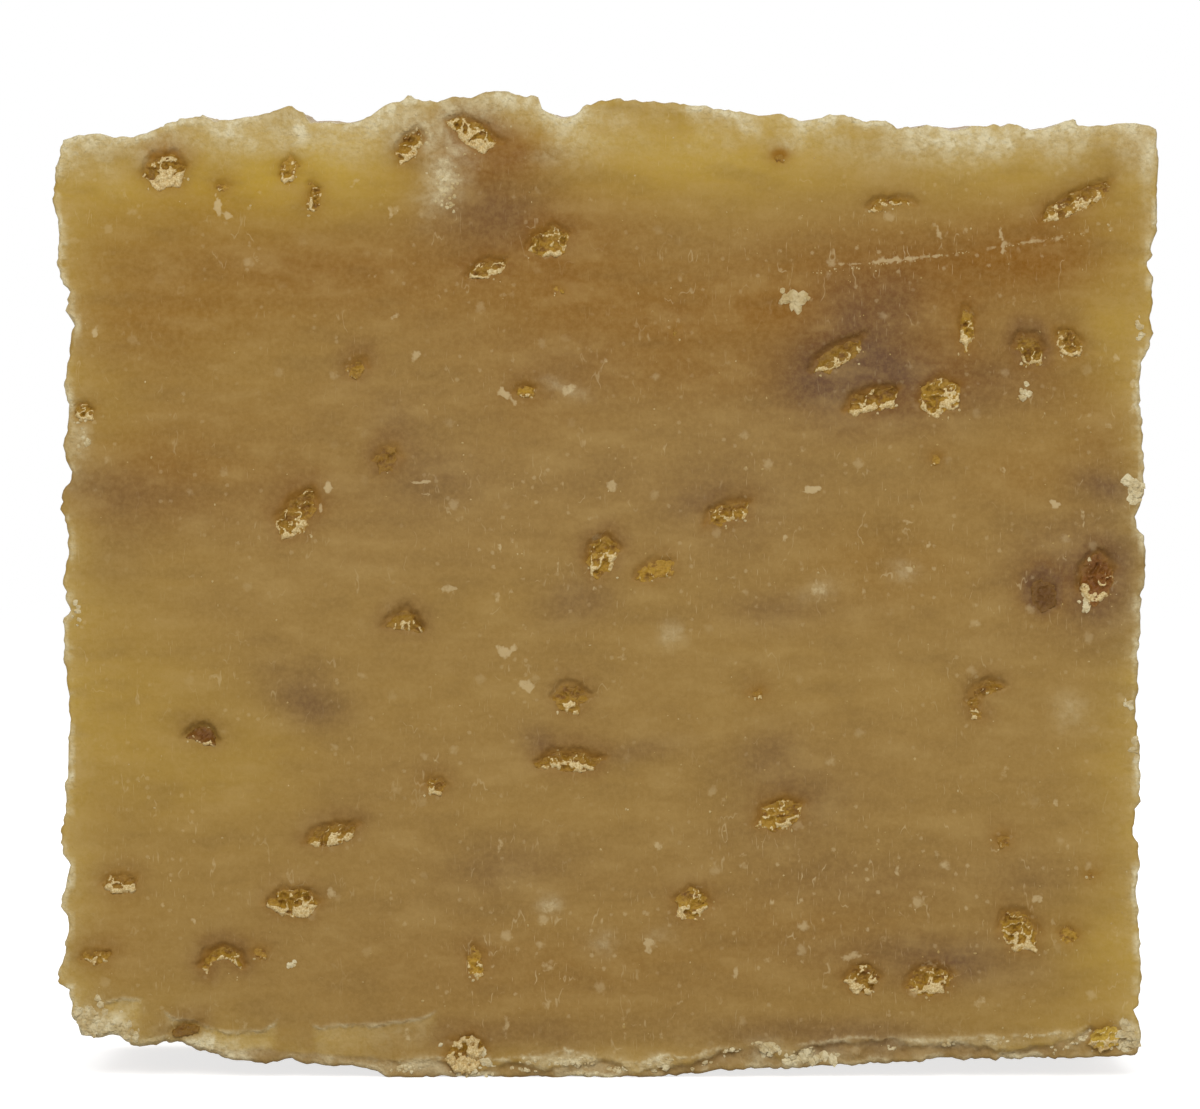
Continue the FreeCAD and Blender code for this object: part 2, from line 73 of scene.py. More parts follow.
def ends(line):
    """The places across of a line's first and last pixel."""
    return spot(*line[0])[0], spot(*line[-1])[0]


# Noise. Each use has a seed of its own, so that no two patterns agree. Sizes are in mm.

# Large odd numbers that mix a cell's place and its seed into a number that looks random.
MIX_ACROSS, MIX_UP, MIX_SEED, MIX_AGAIN = 73856093, 19349663, 83492791, 1274126177
MIX_START, OCTAVE_SEED = 7919, 31
LOW_BITS = 0xFFFF


def cell_number(seed, column, row):
    """A repeatable number from 0 to 1 for each cell of a lattice."""
    mixed = column.astype(np.int64) * MIX_ACROSS ^ row.astype(np.int64) * MIX_UP
    mixed = mixed ^ (seed * MIX_SEED + MIX_START)
    mixed = (mixed ^ (mixed >> 13)) * MIX_AGAIN
    return ((mixed ^ (mixed >> 16)) & LOW_BITS) / LOW_BITS


def noise(seed, size, x, z):
    """Smooth noise from -1 to 1 whose bumps are about size across."""
    column, row = np.floor(x / size), np.floor(z / size)
    across, up = x / size - column, z / size - row
    across, up = across * across * (3 - 2 * across), up * up * (3 - 2 * up)
    low = cell_number(seed, column, row) * (1 - across) + cell_number(seed, column + 1, row) * across
    high = cell_number(seed, column, row + 1) * (1 - across) + cell_number(seed, column + 1, row + 1) * across
    return (low * (1 - up) + high * up) * 2 - 1


def rough(seed, size, x, z, octaves=3):
    """Noise with finer noise on it, from about -1 to 1."""
    total = np.zeros_like(x, dtype=float)
    for octave in range(octaves):
        total += noise(seed + OCTAVE_SEED * octave, size / 2 ** octave, x, z) * 0.5 ** octave
    return total / 1.5


def patches(base, amount, seed, size, x, z, octaves=3):
    """Patchy cover, from 0 to 1."""
    return np.clip(base + amount * rough(seed, size, x, z, octaves), 0, 1)


def step(start, end, value):
    """A smooth step from 0 at start to 1 at end."""
    share = np.clip((value - start) / (end - start), 0, 1)
    return share * share * (3 - 2 * share)


# What the frame says

WELD_DECIMALS = 4
FLAT_TOLERANCE = 0.02


def world_triangles(node):
    """A node's corners in millimetres, welded, and its triangles."""
    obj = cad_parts[node]
    mesh = obj.data
    mesh.calc_loop_triangles()
    corners = np.empty(len(mesh.vertices) * 3)
    mesh.vertices.foreach_get("co", corners)
    turn = np.array(obj.matrix_world)
    corners = (corners.reshape(-1, 3) @ turn[:3, :3].T + turn[:3, 3]) * PER_METRE
    tris = np.empty(len(mesh.loop_triangles) * 3, dtype=int)
    mesh.loop_triangles.foreach_get("vertices", tris)
    welded, place = np.unique(np.round(corners, WELD_DECIMALS), axis=0, return_inverse=True)
    tris = place.reshape(-1)[tris].reshape(-1, 3)
    distinct = (tris[:, 0] != tris[:, 1]) & (tris[:, 1] != tris[:, 2]) & (tris[:, 2] != tris[:, 0])
    return welded, tris[distinct]


def separate_solids(corners, tris):
    """The triangles of each separate solid in a node."""
    label = np.arange(len(corners))
    while True:
        lowest = label[tris].min(axis=1)
        spread = label.copy()
        np.minimum.at(spread, tris.ravel(), np.repeat(lowest, 3))
        if (spread == label).all():
            break
        label = spread
    owner = label[tris[:, 0]]
    return [tris[owner == one] for one in np.unique(owner)]


def slice_at(corners, tris, y):
    """The straight pieces in which a solid's surface meets the plane at one depth."""
    start = corners[tris]
    end = np.roll(start, -1, axis=1)
    before, after = start[:, :, 1] - y, end[:, :, 1] - y
    crosses = before * after < 0
    whole = crosses.sum(axis=1) == 2
    span = np.where(crosses, before - after, 1)
    cut = start + (end - start) * (before / span)[:, :, None]
    return cut[whole][crosses[whole]].reshape(-1, 2, 3)[:, :, [0, 2]]


def face_edges(corners, tris, y):
    """The border of a solid's flat face at one depth, as straight pieces."""
    flat = tris[(np.abs(corners[tris][:, :, 1] - y) < FLAT_TOLERANCE).all(axis=1)]
    sides = np.sort(np.concatenate([flat[:, [0, 1]], flat[:, [1, 2]], flat[:, [2, 0]]]), axis=1)
    border, count = np.unique(sides, axis=0, return_counts=True)
    return corners[border[count == 1]][:, :, [0, 2]]


def closed(points):
    """The straight pieces that join some points in a ring."""
    return np.stack([points, np.roll(points, -1, axis=0)], axis=1)


def signed_distance(x, z, pieces, chunk=4000):
    """Distance to a closed outline given as straight pieces, negative inside it."""
    result = np.empty(len(x))
    start, span = pieces[:, 0], pieces[:, 1] - pieces[:, 0]
    length = np.maximum((span ** 2).sum(axis=1), 1e-12)
    for first in range(0, len(x), chunk):
        px, pz = x[first:first + chunk, None], z[first:first + chunk, None]
        dx, dz = px - start[:, 0], pz - start[:, 1]
        share = np.clip((dx * span[:, 0] + dz * span[:, 1]) / length, 0, 1)
        away = np.hypot(dx - share * span[:, 0], dz - share * span[:, 1]).min(axis=1)
        rises = (start[:, 1] <= pz) != (start[:, 1] + span[:, 1] <= pz)
        level = np.where(span[:, 1] == 0, 1, span[:, 1])
        right_of = px < start[:, 0] + dz / level * span[:, 0]
        inside = (rises & right_of).sum(axis=1) % 2 == 1
        result[first:first + chunk] = np.where(inside, -away, away)
    return result


# Flakes

# How each flake in the front face looks, in the order of the nodes' names:
# recess (mm that its upper side lies in its pit), cream (share of pale crumb, with painted highlight), dark
# (share of dark skin, with painted shade), halo (how strongly it shows through the soap round it, and how
# dark the painted shade over it is).
FRONT_LOOKS = [
    (0.8, 0.80, 0.15, 0.45), (0.35, 0.55, 0.05, 0.25), (0.35, 0.50, 0.10, 0.25), (0.6, 0.60, 0.30, 0.35),
    (0.7, 0.75, 0.35, 0.50), (0.6, 0.50, 0.45, 0.40), (0.6, 0.50, 0.50, 0.40), (0.7, 0.45, 0.35, 0.25),
    (0.6, 0.40, 0.40, 0.35), (1.1, 0.35, 0.80, 0.80), (0.9, 0.50, 0.60, 0.80), (0.35, 0.55, 0.25, 0.30),
    (0.5, 0.50, 0.30, 0.35), (1.0, 0.40, 0.80, 0.70), (0.5, 0.45, 0.35, 0.35), (0.5, 0.20, 0.40, 0.55),
    (0.5, 0.30, 0.30, 0.35), (0.4, 0.10, 0.50, 0.70), (0.6, 0.50, 0.40, 0.60), (0.8, 0.45, 0.50, 0.60),
    (0.7, 0.40, 0.50, 0.60), (0.5, 0.25, 0.20, 0.30), (1.0, 0.35, 0.70, 0.40), (1.2, 0.40, 1.00, 0.30),
    (0.9, 0.35, 0.60, 0.30), (0.9, 0.45, 0.50, 0.60), (0.9, 0.40, 0.50, 0.35), (0.3, 0.00, 0.90, 1.00),
    (1.1, 0.45, 0.80, 0.80), (0.5, 0.45, 0.35, 0.60), (0.5, 0.50, 0.30, 0.30), (0.8, 0.50, 0.50, 0.50),
    (0.4, 0.50, 0.30, 0.30), (0.7, 0.65, 0.30, 0.40), (1.0, 0.50, 0.50, 0.70), (0.4, 0.40, 0.30, 0.30),
    (0.4, 0.50, 0.30, 0.30), (0.5, 0.60, 0.35, 0.35), (0.6, 0.65, 0.25, 0.40), (0.6, 0.60, 0.35, 0.40),
    (0.7, 0.50, 0.35, 0.50), (0.8, 0.10, 0.80, 0.40),
]
EDGE_LOOKS = [(0.4, 0.60, 0.20, 0.20), (0.4, 0.95, 0.20, 0.30), (0.3, 0.60, 0.00, 0.20)]
SMALL_LOOK = (0.20, 0.20, 0.15, 0.30)
# Flakes with a colour of their own: how red and how golden.
OWN_COLOURS = {"grain_flake_24_shape": (1, 0), "grain_flake_29_shape": (1, 0), "edge_flake_3_shape": (0, 1)}
HIDDEN_LOOKS = [(0.7, 0.50, 0.40, 0.50), (0.5, 0.40, 0.60, 0.60), (0.9, 0.60, 0.30, 0.40)]
FIRST_FLAKE_SEED, FIRST_SPECK_SEED, FIRST_BACK_SEED, SEED_STEP = 100, 2000, 3000, 20


class Flake:
    """One flake of grain laid bare in the front or the back face."""

    # Depths, heights and widths in mm.
    SHALLOWEST, DEEPER_SHARE = 0.05, 0.4
    SOCKET_DEPTH = 0.35
    RIDGE_HEIGHT, GRAIN_HEIGHT = 0.26, 0.08
    ROLLED_EDGE, EDGE_WIDTH = 0.3, 0.16
    MOST_PROUD = 0.12
    # Its border is measured at this many places across, the outer ones this far in from its ends.
    SLICES, END_INSET = 24, 0.02

    def __init__(self, outline, look, seed):
        self.outline = outline
        self.recess, self.cream, self.dark, self.halo = look
        # A flake darker than it is pale shows no amber border.
        self.clear = 1 - max(self.dark - self.cream, 0)
        self.seed = seed
        points = outline.reshape(-1, 2)
        self.low, self.high = points.min(axis=0), points.max(axis=0)
        self.centre, self.half = (self.low + self.high) / 2, (self.high - self.low) / 2
        self.across = np.linspace(self.low[0] + self.END_INSET, self.high[0] - self.END_INSET, self.SLICES)
        start, end = outline[:, 0], outline[:, 1]
        span = np.where(end[:, 0] == start[:, 0], 1e-9, end[:, 0] - start[:, 0])
        share = (self.across[:, None] - start[:, 0]) / span
        met = start[:, 1] + (end[:, 1] - start[:, 1]) * share
        on_it = (share >= 0) & (share <= 1)
        self.foot = np.where(on_it, met, np.inf).min(axis=1)
        self.head = np.where(on_it, met, -np.inf).max(axis=1)

    def near(self, x, z, margin):
        """Which points lie within a margin of the flake's box."""
        return (
            (x > self.low[0] - margin) & (x < self.high[0] + margin)
            & (z > self.low[1] - margin) & (z < self.high[1] + margin)
        )

    def distance(self, x, z):
        """Distance to the flake's ragged border, negative inside."""
        ragged = 0.26 * rough(self.seed, 0.9, x, z) + 0.10 * noise(self.seed + 5, 0.26, x, z)
        return signed_distance(x, z, self.outline) + ragged

    def climb(self, x, z):
        """From -1 at the flake's lower border to 1 at its upper one."""
        foot, head = np.interp(x, self.across, self.foot), np.interp(x, self.across, self.head)
        middle, half = (foot + head) / 2, np.maximum((head - foot) / 2, 0.3 * self.half[1])
        return (z - middle) / half

    def glow(self, x, z, width, rise=0):
        """1 on the flake, falling off over a width round it, and moved up by a rise."""
        away = np.maximum(signed_distance(x, z - rise, self.outline), 0)
        return np.exp(-(away / width) ** 2)

    def bed(self, height):
        """How deep the flake lies: its upper side is the deeper one."""
        return self.SHALLOWEST + self.DEEPER_SHARE * self.recess * step(-0.5, 0.8, height)

    def pit(self, x, z):
        """How deep the soap is sunk round and under the flake."""
        border, climb = self.distance(x, z), self.climb(x, z)
        wall = 0.20 + 0.45 * step(-0.3, 0.7, climb) * min(self.recess, 1)
        beside = self.bed(climb) * (1 - step(0, wall, border))
        return beside + self.SOCKET_DEPTH * (1 - step(-0.35, -0.06, border))

    def surface(self, x, z):
        """The crumbly surface: depth, ridges up to 1, sway of the height, distance to the border."""
        border = self.distance(x, z)
        sway = self.climb(x, z) + 0.4 * rough(self.seed + 9, 0.9, x, z, 2)
        ridge = 1 - np.abs(rough(self.seed + 11, 0.6, x, z)) * 2.4
        faded = 1 - 0.9 * step(-0.35, 0.0, border)
        relief = self.RIDGE_HEIGHT * np.clip(ridge, -0.7, 1) * (0.4 + self.cream) * faded
        depth = self.bed(sway) - relief + self.GRAIN_HEIGHT * noise(self.seed + 13, 0.2, x, z)
        depth += self.ROLLED_EDGE * step(0.0, self.EDGE_WIDTH, border)
        return np.maximum(depth, -self.MOST_PROUD), ridge, sway, border


def separate_flakes(node, face, looks, first_seed):
    """The flakes of one node, each with a look from the list in turn."""
    corners, tris = world_triangles(node)
    return [
        Flake(face_edges(corners, solid, face), looks[number % len(looks)], first_seed + SEED_STEP * number)
        for number, solid in enumerate(separate_solids(corners, tris))
    ]


def front_flakes():
    """The flakes of the front face, by node."""
    flakes = {}
    nodes = sorted(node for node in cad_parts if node.startswith("grain_flake"))
    edge_nodes = sorted(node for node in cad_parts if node.startswith("edge_flake"))
    for number, (node, look) in enumerate(zip(nodes + edge_nodes, FRONT_LOOKS + EDGE_LOOKS)):
        corners, tris = world_triangles(node)
        outline = face_edges(corners, tris, FRONT_Y)
        flakes[node] = [Flake(outline, look, FIRST_FLAKE_SEED + SEED_STEP * number)]
    flakes["small_flakes"] = separate_flakes("small_flakes", FRONT_Y, [SMALL_LOOK], FIRST_SPECK_SEED)
    return flakes


# The bar's outline

# The outline is measured from a rectangle this far inside the bar, with a spoke every so often.
SPOKE_INSET = 12.0
SPOKE_PITCH = 0.27
CORNER_STRETCH = 1.25
# The depths at which the solid's sides change slope, as shares of its thickness.
SECTION_SHARES = (0.3, 0.65)
# How many spokes to each side a dip may be wide and still be a flake's pocket.
POCKET_HALF = 12
BEHIND_BREAK, HAIR = 0.9, 0.01


def corner_fan(count, first_degrees):
    """Directions that turn clockwise through a quarter from the one given."""
    turn = np.radians(first_degrees - 90 * (np.arange(count) + 0.5) / count)
    return np.stack([np.cos(turn), np.sin(turn)], axis=1)


def spokes():
    """Where the outline is measured from, on a rectangle inside the bar, and in which directions."""
    left, right = LOW[0] + SPOKE_INSET, HIGH[0] - SPOKE_INSET
    low, high = LOW[2] + SPOKE_INSET, HIGH[2] - SPOKE_INSET
    origins, directions = [], []
    fan = int(SPOKE_INSET * CORNER_STRETCH * math.pi / 2 / SPOKE_PITCH)
    sides = [
        ((left, high), (right, high), (0, 1), 90),
        ((right, high), (right, low), (1, 0), 0),
        ((right, low), (left, low), (0, -1), -90),
        ((left, low), (left, high), (-1, 0), 180),
    ]
    for start, end, outwards, degrees in sides:
        start, end = np.array(start), np.array(end)
        count = int(np.abs(end - start).sum() / SPOKE_PITCH)
        shares = ((np.arange(count) + 0.5) / count)[:, None]
        origins.append(start + (end - start) * shares)
        directions.append(np.tile(outwards, (count, 1)))
        origins.append(np.tile(end, (fan, 1)))
        directions.append(corner_fan(fan, degrees))
    return np.concatenate(origins), np.concatenate(directions).astype(float)


def reach_of(origins, directions, pieces):
    """How far it is from each origin, in its direction, to the outermost of some straight pieces."""
    span = (pieces[:, 1] - pieces[:, 0])[None]
    ahead, gap = directions[:, None], pieces[:, 0][None] - origins[:, None]
    cross = ahead[..., 0] * span[..., 1] - ahead[..., 1] * span[..., 0]
    cross = np.where(cross == 0, 1e-12, cross)
    along = (gap[..., 0] * span[..., 1] - gap[..., 1] * span[..., 0]) / cross
    share = (gap[..., 0] * ahead[..., 1] - gap[..., 1] * ahead[..., 0]) / cross
    met = (share >= 0) & (share <= 1) & (along > 0)
    return np.where(met, along, 0).max(axis=1)


def without_pockets(reach):
    """A row of reaches whose narrow dips are bridged."""
    shifts = range(-POCKET_HALF, POCKET_HALF + 1)
    widest = np.max([np.roll(reach, shift) for shift in shifts], axis=0)
    return np.min([np.roll(widest, shift) for shift in shifts], axis=0)


def measured_outline(origins, directions):
    """The outline's reach along each spoke, at the depths where the solid's sides change slope."""
    corners, tris = world_triangles("soap_bar")
    near_middle, far_middle = [FRONT_Y + THICKNESS * share for share in SECTION_SHARES]
    depths = [FRONT_Y + BEHIND_BREAK, near_middle - HAIR, far_middle - HAIR, BACK_Y - HAIR]
    reaches = [reach_of(origins, directions, slice_at(corners, tris, y)) for y in depths]
    reaches[1:3] = [without_pockets(reach) for reach in reaches[1:3]]
    slope = (reaches[0] - reaches[1]) / (depths[1] - depths[0])
    reaches[0] = reaches[0] + slope * (depths[0] - FRONT_Y)
    return [FRONT_Y, near_middle, far_middle, BACK_Y], reaches


# The front face's relief

# The break along the lower edge, from left to right: pixels of the photograph.
BREAK_LINE = [
    (40, 1050), (110, 1047), (128, 1045), (165, 1047), (180, 1038), (230, 1049), (262, 1047), (300, 1052),
    (330, 1054), (400, 1059), (480, 1057), (495, 1058), (545, 1055), (565, 1049), (590, 1058), (640, 1062),
    (660, 1055), (690, 1057), (720, 1048), (770, 1046), (780, 1052), (800, 1045), (860, 1036), (925, 1040),
    (965, 1036), (1000, 1036), (1040, 1033), (1075, 1031), (1090, 1024), (1105, 1032), (1170, 1034),
]
# Where the skin over the lower edge is torn: its lower border, from left to right, in pixels.
TORN_SKINS = [
    [(160, 1010), (166, 1014), (172, 1020), (190, 1022), (225, 1034), (262, 1032), (275, 1025), (281, 1016)],
    [(308, 1020), (313, 1027), (320, 1030), (335, 1026), (375, 1026), (420, 1020), (440, 1010)],
    [(100, 1003), (118, 1001), (140, 1000), (146, 994)],
]
# Where the flap over the break comes up from nothing, and where the break grows deeper, in pixels across.
FLAP_RISE, DEEPER_BREAK = ((380, 0), (430, 0)), ((330, 0), (430, 0))
SKIN_DEPTH, SKIN_END = 0.15, 0.8
BREAK_DEPTH, BREAK_RELIEF = 0.24, 0.26
FLAP_LIFT, FLAP_RELIEF = 0.08, 0.07
CRUMBLED_DEPTH, CRUMBLED_RELIEF = 0.12, 0.30
# The cut face's own unevenness in mm: noise seed, width of its waves, height.
FRONT_WAVES = [(51, 15, 0.05), (52, 2.6, 0.018)]
BACK_WAVES = [(61, 13, 0.05), (62, 2.6, 0.02)]
FINEST_WAVE = 0.006
FACE_SINK = 0.03
PIT_MARGIN = 0.8


def line_height(x, line):
    """The height of a line given by pixels, at each place across."""
    points = np.array([spot(px, py) for px, py in line])
    return np.interp(x, points[:, 0], points[:, 1])


def over_break(x, z):
    """Height over the break's ragged line."""
    return z - line_height(x, BREAK_LINE) + 0.16 * rough(41, 1.1, x, z) + 0.05 * noise(42, 0.25, x, z)


def flap_width(x):
    """How far the torn flap hangs down under the break's line. It ends towards the left."""
    full = np.clip(0.45 + 0.75 * rough(78, 3.0, x, x * 0, 4), 0.05, 1.0)
    return full * step(*ends(FLAP_RISE), x)


def on_flap(x, z):
    """The torn flap, from 0 to 1."""
    over, width = over_break(x, z), flap_width(x)
    return step(-0.10, 0.02, over + width) * (1 - step(0.0, 0.10, over)) * step(0.03, 0.15, width)


def below_break(x, z):
    """From 0 over the flap's lower border to 1 under it."""
    return 1 - step(-0.32, 0.06, over_break(x, z) + flap_width(x))


def torn_skins(x, z):
    """For each torn skin, where it reaches across, from 0 to 1, and the height over its lower border."""
    for line in TORN_SKINS:
        start, end = ends(line)
        inside = step(start, start + SKIN_END, x) * (1 - step(end - SKIN_END, end, x))
        yield inside, z - line_height(x, line)


def skin_wander(x, z):
    """How far the torn borders stray from their lines."""
    return 0.10 * rough(44, 0.7, x, z)


def torn_skin(x, z):
    """How deep the soap is sunk where its skin is torn off over the lower edge."""
    depth = np.zeros_like(x)
    for inside, over in torn_skins(x, z):
        under = 1 - step(-0.05, 0.06, over + skin_wander(x, z))
        depth += SKIN_DEPTH * inside * under * (1 - 0.8 * step(0.3, 2.4, -over))
    return depth


def skin_edge(x, z):
    """The pale torn edge of the skin, and the bare soap under it, each from 0 to 1."""
    edge, bare = np.zeros_like(x), np.zeros_like(x)
    for inside, over in torn_skins(x, z):
        over = over + skin_wander(x, z)
        edge += inside * np.exp(-((over - 0.06) / 0.13) ** 2)
        bare += inside * (1 - step(-0.1, 0.1, over)) * step(-2.6, -0.4, over)
    return edge, bare


def ellipse(x, z, px, py, wide, tall, lean=0):
    """A soft spot round a pixel of the photograph: 1 in its middle, falling to nothing outside."""
    cx, cz = spot(px, py)
    turn = math.radians(lean)
    across = (x - cx) * math.cos(turn) + (z - cz) * math.sin(turn)
    up = (z - cz) * math.cos(turn) - (x - cx) * math.sin(turn)
    return np.exp(-((across / (wide * PIXEL)) ** 2 + (up / (tall * PIXEL)) ** 2) * 2.0)


# Crumbled corners: pixel across and up, radii in pixels.
CRUMBLED = [
    (98, 1024, 34, 24), (150, 1045, 40, 12), (1118, 1040, 34, 16), (465, 1062, 26, 16), (1131, 490, 14, 18),
]


def crumbled(x, z):
    """Where the edge has crumbled, from 0 to 1."""
    total = np.zeros_like(x)
    for px, py, wide, tall in CRUMBLED:
        total += ellipse(x, z, px, py, wide, tall)
    return np.clip(total, 0, 1)


def sink_flakes(depth, x, z, flakes):
    """Sink a face's depths further, to the pit of each of its flakes."""
    for flake in flakes:
        near = flake.near(x, z, PIT_MARGIN)
        depth[near] = np.maximum(depth[near], flake.pit(x[near], z[near]))
    return depth


def waves(x, z, sizes):
    """The sum of some noises, each given by its seed, width and height."""
    return sum(height * rough(seed, width, x, z) for seed, width, height in sizes)


def front_depth(x, z, flakes):
    """How deep the front face is sunk at each point."""
    depth = FACE_SINK + waves(x, z, FRONT_WAVES) + FINEST_WAVE * noise(53, 0.5, x, z) + torn_skin(x, z)
    share = 0.4 + 0.6 * step(*ends(DEEPER_BREAK), x)
    depth += below_break(x, z) * (BREAK_DEPTH + BREAK_RELIEF * rough(54, 0.9, x, z)) * share
    depth -= on_flap(x, z) * (FLAP_LIFT + FLAP_RELIEF * rough(43, 1.2, x, z))
    depth += crumbled(x, z) * (CRUMBLED_DEPTH + CRUMBLED_RELIEF * rough(55, 0.8, x, z))
    return sink_flakes(depth, x, z, flakes)


def back_depth(x, z, flakes):
    """How deep the back face is sunk at each point."""
    return sink_flakes(FACE_SINK + waves(x, z, BACK_WAVES), x, z, flakes)


# The soap's colours, as masks over its surface

# How far down from the bar's highest point the crust of its top reaches, and where it is full.
TOP_CRUST, FULL_TOP_CRUST = 7.5, 4.0
# How wide the painted whitish light and the haze inside it are along every edge, and the crusts and their
# haze along the top, in mm.
EDGE_LIGHT_LINE, EDGE_LIGHT_HAZE, TOP_EDGE_CRUST, TOP_HAZE = 0.30, 1.6, 1.0, 3.2
# How wide the yellow light of the edges is, in the front and in the faces that aren't seen.
FRONT_HONEY, PLAIN_HONEY = 2.2, 2.4
# How wide the dark halo over a flake is and how far up it lies, then its amber ring and its clear border.
# The halo is the flake showing through the soap together with painted shade, moved up to where shade falls
# under light from above.
HALO, HALO_RISE, RING, CLEARING = 0.9, 0.5, 0.4, 0.35
PLAIN_HALO, PLAIN_RISE = 0.8, 0.3
# How far round a flake the soap is coloured by it, and how far a scuff's noise may reach, in its radii.
GLOW_MARGIN = 2.6
SCUFF_REACH = 1.6
# Soft fields in the front, in pixels of the photograph: across, down, radii, strength, and lean in degrees.
HONEY_FIELDS = [
    (150, 170, 150, 90, 0.5), (300, 175, 190, 70, 0.75), (700, 150, 260, 60, 0.55),
    (1000, 180, 160, 60, 0.3), (1105, 300, 60, 130, 0.35), (100, 260, 60, 120, 0.2),
    (110, 420, 60, 80, 0.15), (130, 640, 100, 140, 0.12), (150, 740, 130, 110, 0.20),
    (250, 760, 120, 90, 0.18), (1115, 740, 50, 160, 0.10), (1100, 960, 70, 110, 0.22),
    (200, 330, 150, 90, 0.25), (240, 220, 200, 60, 0.15), (250, 430, 200, 90, 0.12),
    (520, 132, 110, 32, 0.6), (700, 190, 180, 44, 0.2), (1105, 190, 60, 60, 0.2),
]
UMBER_FIELDS = [
    (330, 270, 260, 60, 0.55), (620, 320, 260, 90, 0.5), (860, 300, 170, 90, 0.9), (980, 260, 180, 60, 0.5),
    (150, 330, 150, 80, 0.45), (150, 480, 140, 70, 0.5), (540, 240, 160, 60, 0.4),
    (880, 560, 120, 60, 0.25), (560, 970, 240, 60, 0.25), (1060, 260, 90, 60, 0.4),
    (820, 930, 200, 70, 0.25), (880, 385, 110, 50, 0.7), (660, 375, 170, 40, 0.35),
    (840, 1032, 170, 30, 0.2), (480, 1035, 170, 26, 0.2), (1080, 580, 70, 60, 0.5), (540, 410, 80, 40, 0.2),
    (1030, 470, 100, 50, 0.3), (220, 210, 170, 50, 0.28), (475, 200, 90, 50, 0.35),
    (220, 310, 240, 90, 0.22), (240, 420, 220, 80, 0.15), (1060, 390, 80, 60, 0.25),
    (600, 205, 160, 44, 0.15), (980, 372, 120, 40, 0.35), (110, 250, 60, 60, 0.25),
    (115, 940, 50, 70, 0.25), (1105, 440, 50, 90, 0.3), (300, 490, 70, 50, 0.2), (1060, 215, 120, 40, 0.2),
    (490, 150, 100, 50, 1.1), (205, 200, 70, 50, 0.2),
]
PLUM_FIELDS = [
    (300, 690, 60, 46, 0.50, -25), (325, 712, 55, 30, 0.30, -10), (578, 600, 60, 38, 0.45, 20),
    (500, 218, 80, 52, 0.55, 20), (765, 752, 55, 34, 0.5, 20), (780, 610, 60, 26, 0.4),
    (640, 750, 62, 16, 0.5, 8), (543, 745, 36, 24, 0.6, -30), (1102, 486, 45, 22, 0.55, -20),
    (1060, 560, 90, 60, 0.55, 20), (868, 312, 80, 62, 0.75, 20), (120, 490, 110, 40, 0.45, -10),
    (430, 480, 80, 50, 0.4), (870, 880, 140, 40, 0.3), (500, 868, 110, 40, 0.35, 10),
    (920, 955, 150, 34, 0.45), (800, 790, 60, 40, 0.35), (395, 430, 34, 40, 0.4),
    (700, 500, 46, 22, 0.4, 15), (1040, 880, 70, 36, 0.3), (600, 480, 120, 40, 0.15),
    (880, 385, 130, 60, 0.85), (1000, 385, 80, 40, 0.25), (1105, 590, 60, 90, 0.8), (835, 375, 70, 44, 0.9),
    (1105, 470, 50, 60, 0.2), (740, 500, 90, 90, 0.25), (830, 1034, 200, 26, 0.60),
    (480, 1035, 190, 26, 0.4), (970, 968, 100, 34, 0.45), (565, 372, 70, 40, 0.25),
    (115, 560, 50, 50, 0.25), (205, 730, 60, 40, 0.25), (790, 820, 110, 60, 0.22), (475, 195, 60, 40, 0.2),
    (300, 490, 60, 40, 0.2),
]
AMBER_FIELDS = [
    (780, 154, 13, 9, 0.9), (165, 152, 34, 16, 0.9), (160, 136, 26, 6, 0.5),
]
CLOUD_FIELDS = [
    (445, 175, 26, 50, 0.7, -20), (420, 130, 24, 28, 0.7), (452, 118, 16, 24, 0.8),
    (100, 150, 30, 20, 0.35), (745, 122, 26, 14, 0.6, -10), (1000, 143, 36, 18, 0.6),
    (300, 128, 14, 14, 0.6), (230, 130, 24, 10, 0.5), (115, 165, 16, 30, 0.3), (100, 1018, 34, 22, 0.8),
    (1148, 180, 8, 50, 0.4), (80, 440, 14, 26, 0.5), (1130, 1036, 20, 18, 0.6),
    (207, 1042, 38, 10, 1.3, -14), (465, 1060, 20, 16, 0.5), (673, 636, 14, 16, 0.45),
    (1075, 712, 22, 26, 0.30, 20), (550, 905, 16, 11, 0.30), (820, 590, 24, 12, 0.25, 20),
    (580, 1060, 46, 10, 0.6), (655, 1060, 20, 8, 0.6), (765, 1046, 26, 10, 0.5), (820, 1056, 30, 9, 0.7),
    (430, 1062, 50, 8, 0.3), (1075, 1036, 40, 8, 0.4), (950, 1042, 90, 8, 0.3), (602, 945, 24, 20, 0.2),
    (300, 128, 44, 20, 0.30), (290, 140, 60, 20, 0.25), (740, 134, 60, 14, 0.15),
    (565, 388, 40, 8, 0.25, -20), (905, 572, 20, 14, 0.25), (660, 935, 22, 12, 0.2),
    (1128, 1037, 16, 16, 0.9), (100, 1030, 40, 20, 0.5), (930, 128, 54, 22, 0.75), (1000, 130, 40, 20, 0.2),
    (930, 128, 50, 20, 0.3), (250, 1048, 40, 8, 0.2, -10), (400, 1066, 60, 8, 0.35, -4),
    (115, 1040, 50, 16, 0.3),
]

# Where handling left most hairlines, measured the same way.
WORN_FIELDS = [
    (860, 900, 270, 130, 1.0), (520, 600, 70, 220, 0.7), (540, 980, 100, 90, 1.0),
    (880, 540, 240, 130, 0.6), (300, 870, 160, 100, 0.4), (900, 260, 260, 60, 0.5),
]
